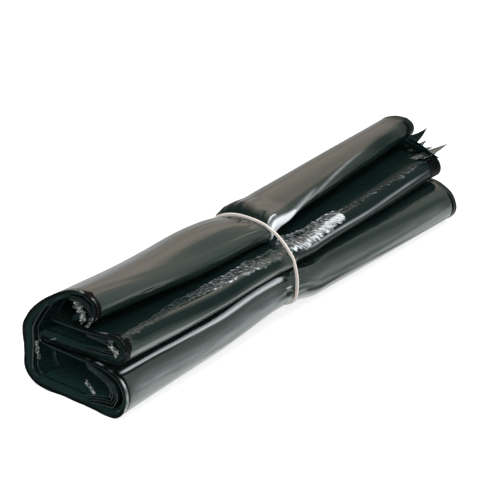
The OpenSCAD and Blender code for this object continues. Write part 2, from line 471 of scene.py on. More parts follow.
def merge(piece: bpy.types.Object) -> None:
    """Joins the doubled points of a closed shell and turns its faces outwards."""
    shell = bmesh.new()
    shell.from_mesh(piece.data)
    bmesh.ops.remove_doubles(shell, verts=shell.verts, dist=1e-6)
    bmesh.ops.recalc_face_normals(shell, faces=shell.faces)
    shell.to_mesh(piece.data)
    shell.free()
    piece.data.shade_smooth()


def zipped(
    left: Sequence[int], right: Sequence[int], at_left: Sequence[float], at_right: Sequence[float]
) -> Faces:
    """Triangles between two rows of points that have different numbers of points.

    Args:
        left: Point numbers of the first row.
        right: Point numbers of the second row.
        at_left: Place of each point of the first row along it.
        at_right: The same for the second row.

    Returns:
        Triangles that run from the first row round to the second.
    """
    faces, i, j = [], 0, 0
    while i < len(left) - 1 or j < len(right) - 1:
        if j == len(right) - 1 or (i < len(left) - 1 and at_left[i + 1] <= at_right[j + 1]):
            faces.append((left[i], left[i + 1], right[j]))
            i += 1
        else:
            faces.append((left[i], right[j + 1], right[j]))
            j += 1
    return faces


@dataclass(frozen=True)
class FoldLine:
    """A ridge or a groove that the film keeps along the roll.

    It lies at a knot of the folded line, from one place along the roll to another. A negative height makes
    it a groove. A taper above 0 narrows it towards its stop, one below 0 towards its start. Pale paints a
    highlight along it, and its painted shade takes away the film's gloss to darken it as a shaded fold.
    """

    knot: float
    start: float
    stop: float
    height: float
    width: float
    drift: float = 0.0
    fade: float = 14.0
    # Strength of the painted highlight along the fold.
    pale: float = 0.0
    # Share of the gloss taken away, as painted shade.
    painted_shade: float = 0.0
    taper: float = 0.0
    wander: float = 0.35
    wander_length: float = 17.0
    sharpness: float = 1.4

    def shape(self, x: float, away: np.ndarray) -> np.ndarray:
        """The line's cross shape in one section.

        Args:
            x: The place of the section along the roll.
            away: Distance of each sample from the knot, along the folded line.

        Returns:
            One share of the line's height a sample.
        """
        share = (x - self.start) / (self.stop - self.start)
        slim = 1.0 - self.taper * share if self.taper > 0 else 1.0 + self.taper * (1.0 - share)
        rise = ease(min(x - self.start, self.stop - x) / self.fade) * slim ** 0.5
        centre = self.drift * share + self.wander * math.sin(x / self.wander_length + self.knot * 5.0)
        profile = np.clip(1.0 - np.abs(away - centre) / (self.width * slim), 0.0, 1.0)
        return rise * profile ** self.sharpness


@dataclass
class Field:
    """A socket's value in a node tree. Arithmetic on it adds the math nodes."""

    tree: bpy.types.NodeTree
    socket: bpy.types.NodeSocket

    def math(self, operation: str, *others: "Field | float", clamp: bool = False) -> "Field":
        """A math node on this value.

        Args:
            operation: The node's operation.
            *others: Its further values.
            clamp: True to keep the result between 0 and 1.

        Returns:
            The result.
        """
        node = self.tree.nodes.new("ShaderNodeMath")
        node.operation, node.use_clamp = operation, clamp
        for slot, value in zip(node.inputs, (self, *others)):
            feed(self.tree, slot, value)
        return Field(self.tree, node.outputs[0])

    def __add__(self, other: "Field | float") -> "Field":
        """Returns the sum."""
        return self.math("ADD", other)

    def __sub__(self, other: "Field | float") -> "Field":
        """Returns the difference."""
        return self.math("SUBTRACT", other)

    def __mul__(self, other: "Field | float") -> "Field":
        """Returns the product."""
        return self.math("MULTIPLY", other)

    def __truediv__(self, other: "Field | float") -> "Field":
        """Returns the quotient."""
        return self.math("DIVIDE", other)


def feed(tree: bpy.types.NodeTree, slot: bpy.types.NodeSocket, value: object) -> None:
    """Links a field to an input, or sets the input's own value. A colour gets full opacity."""
    if isinstance(value, Field):
        tree.links.new(value.socket, slot)
    else:
        slot.default_value = (*value, 1.0) if slot.type == "RGBA" else value


@dataclass
class TreeWriter:
    """Writes one node tree: its named inputs and outputs, its nodes and their links."""

    name: str
    domain: Domain
    tree: bpy.types.NodeTree = field(init=False)
    entry: bpy.types.Node = field(init=False)

    def __post_init__(self) -> None:
        """Makes the empty tree and its input node."""
        self.tree = bpy.data.node_groups.new(self.name, self.domain.value)
        self.entry = self.tree.nodes.new("NodeGroupInput")

    def takes(self, name: str, kind: str, default: object = None) -> Field:
        """A named input of the tree.

        Args:
            name: Name of the input.
            kind: Its socket type without the common prefix, such as Float.
            default: Its first value.

        Returns:
            The value that the tree reads from it.
        """
        socket = self.tree.interface.new_socket(name, in_out="INPUT", socket_type="NodeSocket" + kind)
        if default is not None:
            socket.default_value = default
        return Field(self.tree, self.entry.outputs[name])

    def numbers(self, **defaults: float) -> list[Field]:
        """Returns the values of named number inputs. An underscore stands for a space."""
        return [self.takes(name.replace("_", " "), "Float", value) for name, value in defaults.items()]

    def gives(self, **results: Field) -> bpy.types.NodeTree:
        """Adds the tree's outputs, by name, and returns the finished tree."""
        kinds = {"GEOMETRY": "Geometry", "VALUE": "Float"}
        leave = self.tree.nodes.new("NodeGroupOutput")
        for name, value in results.items():
            kind = "NodeSocket" + kinds[value.socket.type]
            self.tree.interface.new_socket(name, in_out="OUTPUT", socket_type=kind)
            self.tree.links.new(value.socket, leave.inputs[name])
        return self.tree

    def node(self, kind: str, settings: dict[str, object] | None = None, **values: object) -> bpy.types.Node:
        """Adds a node.

        Args:
            kind: Its type.
            settings: Properties of the node.
            **values: Its inputs by name. An underscore stands for a space.

        Returns:
            The node.
        """
        node = self.tree.nodes.new(kind)
        for key, value in (settings or {}).items():
            setattr(node, key, value)
        for key, value in values.items():
            feed(self.tree, node.inputs[key.replace("_", " ")], value)
        return node

    def out(self, node: bpy.types.Node, name: str | int = 0) -> Field:
        """Returns the value of a node's output."""
        return Field(self.tree, node.outputs[name])

    def attribute(self, name: str, vector: bool = False) -> Field:
        """Returns an attribute of the mesh that a geometry tree works on."""
        settings = {"data_type": "FLOAT_VECTOR" if vector else "FLOAT"}
        return self.out(self.node("GeometryNodeInputNamedAttribute", settings, Name=name), "Attribute")

    def vector(self, x: Field | float = 0.0, y: Field | float = 0.0, z: Field | float = 0.0) -> Field:
        """Returns three values as one vector."""
        return self.out(self.node("ShaderNodeCombineXYZ", X=x, Y=y, Z=z))

    def scaled(self, vector: Field, factor: Field | float) -> Field:
        """Returns a vector times a number."""
        node = self.node("ShaderNodeVectorMath", {"operation": "SCALE"}, Vector=vector, Scale=factor)
        return self.out(node)

    def combined(self, operation: str, one: Field, other: Field | Triple) -> Field:
        """Returns the result of an operation on two vectors."""
        node = self.node("ShaderNodeVectorMath", {"operation": operation})
        feed(self.tree, node.inputs[0], one)
        feed(self.tree, node.inputs[1], other)
        return self.out(node)

    def place(self, kind: str = "Object") -> Field:
        """Returns the coordinates of a kind that a shader sees."""
        return self.out(self.node("ShaderNodeTexCoord"), kind)

    def sides(self, vector: Field) -> list[Field]:
        """Returns the three values of a vector."""
        node = self.node("ShaderNodeSeparateXYZ", Vector=vector)
        return [self.out(node, side) for side in "XYZ"]

    def over_floor(self, geometry: Field) -> Field:
        """Returns the geometry with the points that lie under the floor lifted onto it."""
        x, y, z = self.sides(self.out(self.node("GeometryNodeInputPosition")))
        above = self.vector(x, y, z.math("MAXIMUM", 0.0))
        return self.out(self.node("GeometryNodeSetPosition", Geometry=geometry, Position=above))

    def dressed(self, geometry: Field, material: Field) -> bpy.types.NodeTree:
        """Makes instances real, sets the material and returns the finished tree."""
        real = self.node("GeometryNodeRealizeInstances", Geometry=geometry)
        result = self.node("GeometryNodeSetMaterial", Geometry=self.out(real), Material=material)
        return self.gives(Geometry=self.out(result))

    def noise(
        self, vector: Field, w: Field | float = 0.0, detail: float = 2.0, roughness: float = 0.5
    ) -> Field:
        """Noise from -1 to 1.

        Args:
            vector: Where it is read. One unit is about one wave.
            w: Fourth coordinate, which gives another noise for each value.
            detail: Number of finer waves.
            roughness: How strong the finer waves are.

        Returns:
            The noise.
        """
        node = self.node("ShaderNodeTexNoise", {"noise_dimensions": "4D"}, Vector=vector, W=w, Scale=1.0,
                         Detail=detail, Roughness=roughness)
        return self.out(node) * 2.0 - 1.0


def pressed(
    source: bpy.types.Object, tree: bpy.types.NodeTree, values: dict[str, object]
) -> bpy.types.Object:
    """Runs a geometry tree on an object and keeps the result as its plain mesh.

    Args:
        source: The object, which keeps its name.
        tree: The tree.
        values: Values for the tree's inputs, by name.

    Returns:
        The same object with the tree's mesh and no modifier.
    """
    modifier = source.modifiers.new(tree.name, "NODES")
    modifier.node_group = tree
    for item in tree.interface.items_tree:
        if item.item_type == "SOCKET" and item.in_out == "INPUT" and item.name in values:
            modifier[item.identifier] = values[item.name]
    graph = bpy.context.evaluated_depsgraph_get()
    mesh = bpy.data.meshes.new_from_object(source.evaluated_get(graph), depsgraph=graph)
    source.modifiers.remove(modifier)
    old, source.data = source.data, mesh
    mesh.name = source.name
    bpy.data.meshes.remove(old)
    return source


def relief_tree() -> bpy.types.NodeTree:
    """The tree that gives a smooth sheet of film its waves, gathers, folds and crinkles.

    Returns:
        The tree. It reads the attributes path_mm, along_mm, freedom, gather, crinkle and fold_lift.
    """
    w = TreeWriter("film_relief", Domain.GEOMETRY)
    geometry, material = w.takes("Geometry", "Geometry"), w.takes("Material", "Material")
    seed, band, groove = w.numbers(Seed=3.0, Band_place=1.0, Groove=1.5)
    gather_depth, gather_reach, gather_pitch = w.numbers(
        Gather_depth=1.2, Gather_reach=15.0, Gather_pitch=5.0)
    wave_height, crease_height, crinkle_height = w.numbers(
        Wave_height=0.6, Crease_height=0.25, Crinkle_height=0.8)
    path, along, freedom, gather, crinkle, lift = (
        w.attribute(name) for name in ("path_mm", "along_mm", "freedom", "gather", "crinkle", "fold_lift"))
    away = ((along - band).math("ABSOLUTE") - groove).math("MAXIMUM", 0.0)
    rise = (away / 3.5).math("MINIMUM", 1.0)
    fade = (away / gather_reach * -1.0).math("EXPONENT")
    settle = (away / 22.0).math("MINIMUM", 1.0)
    ridge = w.noise(w.vector(path / gather_pitch, along / 46.0), seed, 1.0).math("ABSOLUTE")
    pleats = (ridge * -3.2 + 0.55) * gather * gather_depth * rise * fade
    waves = w.noise(w.vector(path / 26.0, along / 95.0), seed + 7.0, 1.0) * wave_height * settle
    fold = w.noise(w.vector(path / 9.0, along / 70.0), seed + 13.0, 2.0).math("ABSOLUTE")
    creases = (fold * -1.0 + 0.2) * crease_height * rise
    slash = w.noise(w.vector((along + path * 0.8) / 3.3, path / 4.4), seed + 21.0, 2.0, 0.5).math("ABSOLUTE")
    crumple = w.noise(w.vector(path / 2.4, along / 3.0), seed + 27.0, 2.0, 0.6)
    crinkles = (slash * -1.5 + crumple * 1.1 + 0.4) * crinkle * crinkle_height * rise
    height = ((waves + creases) * freedom + pleats + crinkles + lift) * MM
    normal = w.out(w.node("GeometryNodeInputNormal"))
    moved = w.node("GeometryNodeSetPosition", Geometry=geometry, Offset=w.scaled(normal, height))
    return w.dressed(w.over_floor(w.out(moved)), material)


def leaves_tree() -> bpy.types.NodeTree:
    """The tree that repeats one strip of film through the wall, so that the sacks show at an end.

    Returns:
        The tree. It reads the attributes across, path_mm, outness and flare.
    """
    w = TreeWriter("stack_leaves", Domain.GEOMETRY)
    geometry, material = w.takes("Geometry", "Geometry"), w.takes("Material", "Material")
    leaves = w.takes("Leaves", "Int", 9)
    seed, span, flutter, ragged, outward, stepped = w.numbers(
        Seed=5.0, Span=4.6, Flutter=0.3, Ragged=2.0, Outward=1.0, Stepped=3.0)
    spots = w.node("GeometryNodeMeshLine", Count=leaves, Offset=(0.0, 0.0, 0.0))
    copies = w.node("GeometryNodeInstanceOnPoints", Points=w.out(spots), Instance=geometry)
    number = w.node("GeometryNodeStoreNamedAttribute", {"data_type": "FLOAT", "domain": "INSTANCE"},
                    Geometry=w.out(copies), Name="leaf", Value=w.out(w.node("GeometryNodeInputIndex")))
    real = w.node("GeometryNodeRealizeInstances", Geometry=w.out(number))
    leaf, path = w.attribute("leaf"), w.attribute("path_mm")
    across, outness, flare = w.attribute("across", True), w.attribute("outness"), w.attribute("flare")
    share = (leaf + 0.5) / leaves - 0.5
    stray = w.noise(w.vector(path / 17.0, leaf * 3.7), seed, 2.0)
    crumple = w.noise(w.vector(path / 3.2, leaf * 2.9, outness * 1.5), seed + 2.0, 2.0, 0.6)
    drift = w.noise(w.vector(path / 38.0, leaf * 5.3), seed + 9.0, 2.0)
    slip = drift + w.noise(w.vector(leaf * 7.7), seed + 4.0)
    sideways = share * span * (flare * outness + 1.0) + (stray + crumple * flare) * flutter * outness
    behind = (share + 0.5).math("POWER", 1.4) * stepped
    recess = (slip * 0.5 + 0.5).math("MAXIMUM", 0.0) * ragged + behind
    shift = w.combined("ADD", w.scaled(across, sideways * MM), w.vector(recess * outness * outward * -MM))
    moved = w.node("GeometryNodeSetPosition", Geometry=w.out(real), Offset=shift)
    return w.dressed(w.over_floor(w.out(moved)), material)


def band_tree() -> bpy.types.NodeTree:
    """The tree that sweeps a flat rounded profile along a closed outline.

    Returns:
        The tree, with the width and the thickness of the band as inputs in metres.
    """
    w = TreeWriter("band_sweep", Domain.GEOMETRY)
    geometry, material = w.takes("Geometry", "Geometry"), w.takes("Material", "Material")
    width, thickness, rounding = w.numbers(Width=0.002, Thickness=0.001, Rounding=0.0003)
    steps = w.takes("Steps", "Int", 400)
    outline = w.node("GeometryNodeMeshToCurve", Mesh=geometry)
    even = w.node("GeometryNodeResampleCurve", Curve=w.out(outline), Count=steps)
    flat = w.node("GeometryNodeCurvePrimitiveQuadrilateral", Width=width, Height=thickness)
    rounded = w.node("GeometryNodeFilletCurve", {"mode": "POLY"}, Curve=w.out(flat), Radius=rounding, Count=3)
    swept = w.node("GeometryNodeCurveToMesh", Curve=w.out(even), Profile_Curve=w.out(rounded))
    smooth = w.node("GeometryNodeSetShadeSmooth", Geometry=w.out(swept))
    return w.dressed(w.out(smooth), material)


class ShaderWriter(TreeWriter):
    """Writes nodes into the tree of a material or a world, round the shader node that it has."""

    def __init__(self, owner: bpy.types.Material | bpy.types.World, shader: str = "Principled BSDF") -> None:
        """Takes the owner's own tree and its shader node."""
        owner.use_nodes = True
        self.tree = owner.node_tree
        self.shader = self.tree.nodes[shader]

    def sets(self, **values: object) -> None:
        """Gives inputs of the shader node their values, by name. An underscore stands for a space."""
        for key, value in values.items():
            feed(self.tree, self.shader.inputs[key.replace("_", " ")], value)

    def value(self, name: str) -> Field:
        """Returns a number that the mesh carries for each point."""
        return self.out(self.node("ShaderNodeAttribute", {"attribute_name": name}), "Fac")

    def wear(self, marks: bpy.types.NodeTree, **values: float) -> list[Field]:
        """Returns the patch, scuff and dust masks of the shared handling marks, with values of its own."""
        node = self.node("ShaderNodeGroup", {"node_tree": marks}, **values)
        return [self.out(node, name) for name in ("Patch", "Scuff", "Dust")]

    def mix(self, share: Field | float, one: object, other: object) -> Field:
        """Returns a mix of two colours."""
        node = self.tree.nodes.new("ShaderNodeMix")
        node.data_type = "RGBA"
        feed(self.tree, node.inputs[0], share)
        feed(self.tree, node.inputs[6], one)
        feed(self.tree, node.inputs[7], other)
        return Field(self.tree, node.outputs[2])

    def bump(self, height: Field, strength: float = 1.0, distance: float = MM) -> Field:
        """Returns the normal that a fine height gives, with the distance in metres that one unit of it is."""
        return self.out(self.node("ShaderNodeBump", Strength=strength, Distance=distance, Height=height))

    def step(self, value: Field, start: float, stop: float, first: float, last: float) -> Field:
        """Returns a value that goes smoothly from first to last while another goes from start to stop."""
        node = self.node("ShaderNodeMapRange", {"interpolation_type": "SMOOTHSTEP"}, Value=value,
                         From_Min=start, From_Max=stop, To_Min=first, To_Max=last)
        return self.out(node)

    def rays(self) -> tuple[Field, Field]:
        """Returns 1 for the camera's own rays, and 1 for those of reflections and clear bodies."""
        node = self.node("ShaderNodeLightPath")
        clear = self.out(node, "Is Transmission Ray")
        return self.out(node, "Is Camera Ray"), self.out(node, "Is Glossy Ray").math("MAXIMUM", clear)


def started(name: str, colour: Triple, ior: float) -> tuple[bpy.types.Material, ShaderWriter]:
    """A material that holds only its shader so far.

    Args:
        name: Name of the material.
        colour: Its colour in the viewport.
        ior: Its index of refraction.

    Returns:
        The material and the writer for its tree.
    """
    mat = bpy.data.materials.new(name)
    mat.diffuse_color = (*colour, 1.0)
    w = ShaderWriter(mat)
    w.sets(IOR=ior)
    return mat, w


def wear_group() -> bpy.types.NodeTree:
    """The shader group for handling marks: soft patches, fine scuffs and specks of dust.

    Returns:
        The group, which gives a patch mask, a scuff mask and a dust mask from 0 to 1.
    """
    w = TreeWriter("handling_marks", Domain.SHADER)
    size, seed, amount = w.numbers(Size=0.02, Seed=1.0, Dust=0.1)
    place = w.place()
    soft = w.noise(w.scaled(place, size.math("POWER", -1.0)), seed, 3.0, 0.55)
    scuff = w.noise(w.combined("MULTIPLY", place, (260.0, 1400.0, 1400.0)), seed + 5.0, 2.0, 0.6)
    specks = w.noise(w.scaled(place, 900.0), seed + 11.0, 1.0)
    patch = (soft * 1.3 + 0.5).math("MINIMUM", 1.0, clamp=True)
    lines = (scuff * 2.2 - 0.35).math("MAXIMUM", 0.0, clamp=True)
    dust = (specks * 2.6 - 1.35).math("MAXIMUM", 0.0, clamp=True) * amount
    return w.gives(Patch=patch, Scuff=lines, Dust=dust)


@dataclass(frozen=True)
class FilmFinish:
    """Glossy polyethylene film, near black with a green tint."""

    name: str = "film_gloss"
    dark: Triple = (0.0045, 0.0135, 0.0125)
    pale: Triple = (0.009, 0.018, 0.0155)
    dust: Triple = (0.22, 0.23, 0.21)
    # Lighter colour painted on the inner side of the wall, as light in the hollows.
    painted_hollow_light: Triple = (0.022, 0.06, 0.055)
    # Colour of the painted highlights.
    painted_highlight_colour: Triple = (0.76, 0.8, 0.84)
    roughness: float = 0.17
    roughness_spread: float = 0.1
    ior: float = 1.8
    bump: float = 0.35
    crinkle_bump: float = 0.5
    tint: Triple = (0.86, 1.0, 0.91)

    def material(self, marks: bpy.types.NodeTree) -> bpy.types.Material:
        """Builds the material.

        Args:
            marks: The group of handling marks.

        Returns:
            The material. It reads path_mm, along_mm and crinkle from the mesh, and the masks of its painted
            highlights, painted shade and painted light in the hollows.
        """
        mat, w = started(self.name, self.dark, self.ior)
        path, along, crinkle = w.value("path_mm"), w.value("along_mm"), w.value("crinkle")
        patch, scuff, dust = w.wear(marks, Size=0.03, Seed=2.0, Dust=0.5)
        tint = w.mix(dust, w.mix(patch, self.dark, self.pale), self.dust)
        # Painted light: the inner side of the wall is drawn lighter.
        tint = w.mix(w.value("painted_hollow_light"), tint, self.painted_hollow_light)
        # Painted highlights: streaks and stripes of a pale colour where the mesh marks them.
        slashes = w.noise(w.vector((along + path * 0.8) / 1.9, path / 3.0), 23.0, 2.0, 0.6) * 4.2 + 0.1
        lines = w.noise(w.vector(path / 2.6, along / 26.0), 29.0, 2.0, 0.5) * 0.9 + 1.0
        broken = (crinkle * 2.5).math("MINIMUM", 1.0)
        streaks = slashes * broken + lines * (broken * -1.0 + 1.0)
        pale = w.value("painted_highlight")
        solid = ((pale - 1.2) * 0.5).math("MAXIMUM", 0.0)
        painted_highlight = (pale * streaks.math("MAXIMUM", 0.1) + solid).math("MINIMUM", 1.0, clamp=True)
        smooth = self.roughness - self.roughness_spread * 0.5
        long_waves = w.noise(w.vector(path / 7.0, along / 60.0), 3.0, 3.0, 0.55) * 0.5
        fine = w.noise(w.vector(path / 1.6, along / 9.0), 8.0, 2.0, 0.5) * 0.05
        crackle = w.noise(w.vector(path / 2.6 + along / 4.0, along / 2.4), 17.0, 1.0, 0.5).math("ABSOLUTE")
        height = long_waves * self.bump + fine + crackle * crinkle * self.crinkle_bump
        w.sets(
            Base_Color=w.mix(painted_highlight, tint, self.painted_highlight_colour),
            Specular_Tint=self.tint,
            # Painted shade: the gloss is taken away where the mesh marks it.
            Specular_IOR_Level=w.value("painted_shade_mask") * -0.46 + 0.5,
            Roughness=patch * self.roughness_spread + scuff * 0.06 + smooth,
            Normal=w.bump(height),
        )
        return mat


@dataclass(frozen=True)
class LeafFinish:
    """The cut edges and inside of the stacked sacks, with painted glints and painted light further in."""

    name: str = "film_edges"
    colour: Triple = (0.001, 0.002, 0.0018)
    # Lighter colour painted further in, as light in the hollows.
    inner: Triple = (0.014, 0.04, 0.037)
    # Colour of the painted glints on the edges.
    light: Triple = (0.5, 0.56, 0.54)
    glint: float = 0.12
    roughness: float = 0.55
    specular: float = 0.06
    ior: float = 1.5

    def material(self, marks: bpy.types.NodeTree) -> bpy.types.Material:
        """Builds the material.

        Args:
            marks: The group of handling marks.

        Returns:
            The material. It reads path_mm, leaf and outness from the mesh.
        """
        mat, w = started(self.name, self.colour, self.ior)
        path, leaf, outness = w.value("path_mm"), w.value("leaf"), w.value("outness")
        patch, _, dust = w.wear(marks, Size=0.012, Seed=6.0, Dust=0.05)
        # Painted glints on the outermost edges, mixed with real dust.
        catch = w.noise(w.vector(path / 4.5, leaf * 3.3), 14.0, 3.0, 0.65) * 3.0 - 0.7
        caught = outness.math("POWER", 8.0) * catch.math("MAXIMUM", 0.0, clamp=True) * self.glint
        painted_glints_and_dust = (caught + dust).math("MINIMUM", 1.0)
        # Painted light: the colour goes from near black at the cut ends to lighter further in.
        depth = (leaf / 3.0 + outness * -0.6 + 0.35).math("MINIMUM", 1.0, clamp=True)
        ripple = w.noise(w.vector(path / 3.0, leaf * 4.1, outness * 2.0), 12.0, 2.0, 0.55)
        w.sets(
            Base_Color=w.mix(painted_glints_and_dust, w.mix(depth, self.colour, self.inner), self.light),
            Specular_IOR_Level=self.specular,
            Roughness=patch * 0.15 + (self.roughness - 0.08),
            Normal=w.bump(ripple * 0.4, 0.8),
        )
        return mat


@dataclass(frozen=True)
class BandFinish:
    """Pale pinkish cream rubber with a satin skin."""

    name: str = "band_rubber"
    colour: Triple = (0.97, 0.89, 0.83)
    grubby: Triple = (0.84, 0.7, 0.62)
    roughness: float = 0.48
    ior: float = 1.5

    def material(self, marks: bpy.types.NodeTree) -> bpy.types.Material:
        """Builds the material.

        Args:
            marks: The group of handling marks.

        Returns:
            The material.
        """
        mat, w = started(self.name, self.colour, self.ior)
        patch, scuff, _ = w.wear(marks, Size=0.004, Seed=9.0, Dust=0.6)
        grain = w.noise(w.scaled(w.place(), 2600.0), 4.0, 2.0, 0.5)
        w.sets(
            Base_Color=w.mix(patch * 0.2 + scuff * 0.2, self.colour, self.grubby),
            Subsurface_Weight=0.12,
            Subsurface_Radius=(0.0012, 0.0007, 0.0004),
            Roughness=patch * 0.12 + (self.roughness - 0.06),
            Normal=w.bump(grain, 0.35, 0.0001),
        )
        return mat


@dataclass(frozen=True)
class LooseLayers:
    """Sheets of film that stand free of the wall near an end of the roll.

    They follow the folded line from one knot to another and bow away from its middle. Depth is how far they
    reach into the roll, and back by is how far the innermost one stands behind the outermost.
    """

    name: str
    end: End
    first: float
    last: float
    bow: float
    span: float
    leaves: int
    depth: float
    back_by: float = 1.0
    seed: float = 1.0


@dataclass(frozen=True)
class FilmCorner:
    """A corner of a sack at an end of the roll, given by places along the roll, reaches and heights.

    It is pointed, or a crumpled tuft when crumple is over 0.
    """

    base: Triple
    tip: Triple
    width: Triple
    curl: Triple
    thickness: float = 0.3
    # How strongly it is painted with highlights.
    pale: float = 0.0
    crumple: float = 0.0
    points: tuple[int, int] = (15, 9)
    blot_share: float = 0.24
    blot_growth: float = 0.12

    def chance(self, step: int) -> np.random.Generator:
        """Returns random numbers of the corner's own, another run of them for each step."""
        return np.random.default_rng(int(abs(self.base[1]) * 10) + step)

    def highlight_blots(self) -> np.ndarray:
        """Returns the painted highlights at each point of one side: in blots where the corner is crumpled."""
        if not self.crumple:
            return np.full(self.points, self.pale)
        blots = self.chance(1).random(self.points)
        blots[1:] = np.minimum(blots[1:], blots[:-1] + self.blot_growth)
        return np.where(blots < self.blot_share, self.pale, 0.0)

    def grid(self, side: float) -> np.ndarray:
        """Points of one side of the corner, by rows from its base to its tip.

        Args:
            side: -1 for its lower side and 1 for its upper one.

        Returns:
            The points, as rows by columns by place, reach and height.
        """
        base, tip, width, curl = (np.array(v, float) for v in (self.base, self.tip, self.width, self.curl))
        normal = np.cross(tip - base, width)
        normal /= np.linalg.norm(normal)
        rows, columns = self.points
        u, v = np.meshgrid(np.linspace(0, 1, rows), np.linspace(-1, 1, columns), indexing="ij")
        u, v = u[..., None], v[..., None]
        narrow = 1.0 - 0.3 * u if self.crumple else 1.02 - u ** 1.3
        flat = base + (tip - base) * u + width * v * narrow / 2 + curl * 4 * u * (1 - u)
        folded = np.abs(v) * (1 - u) * 1.3 + 0.5 * np.sin(5 * u + 2 * v) * (1 - u)
        if self.crumple:
            chance = self.chance(0)
            folded = chance.uniform(-1.0, 1.0, (rows, columns, 1)) * self.crumple
            flat = flat + chance.uniform(-0.4, 0.4, (rows, columns, 3)) * self.crumple
        return flat + normal * (folded + side * self.thickness / 2)


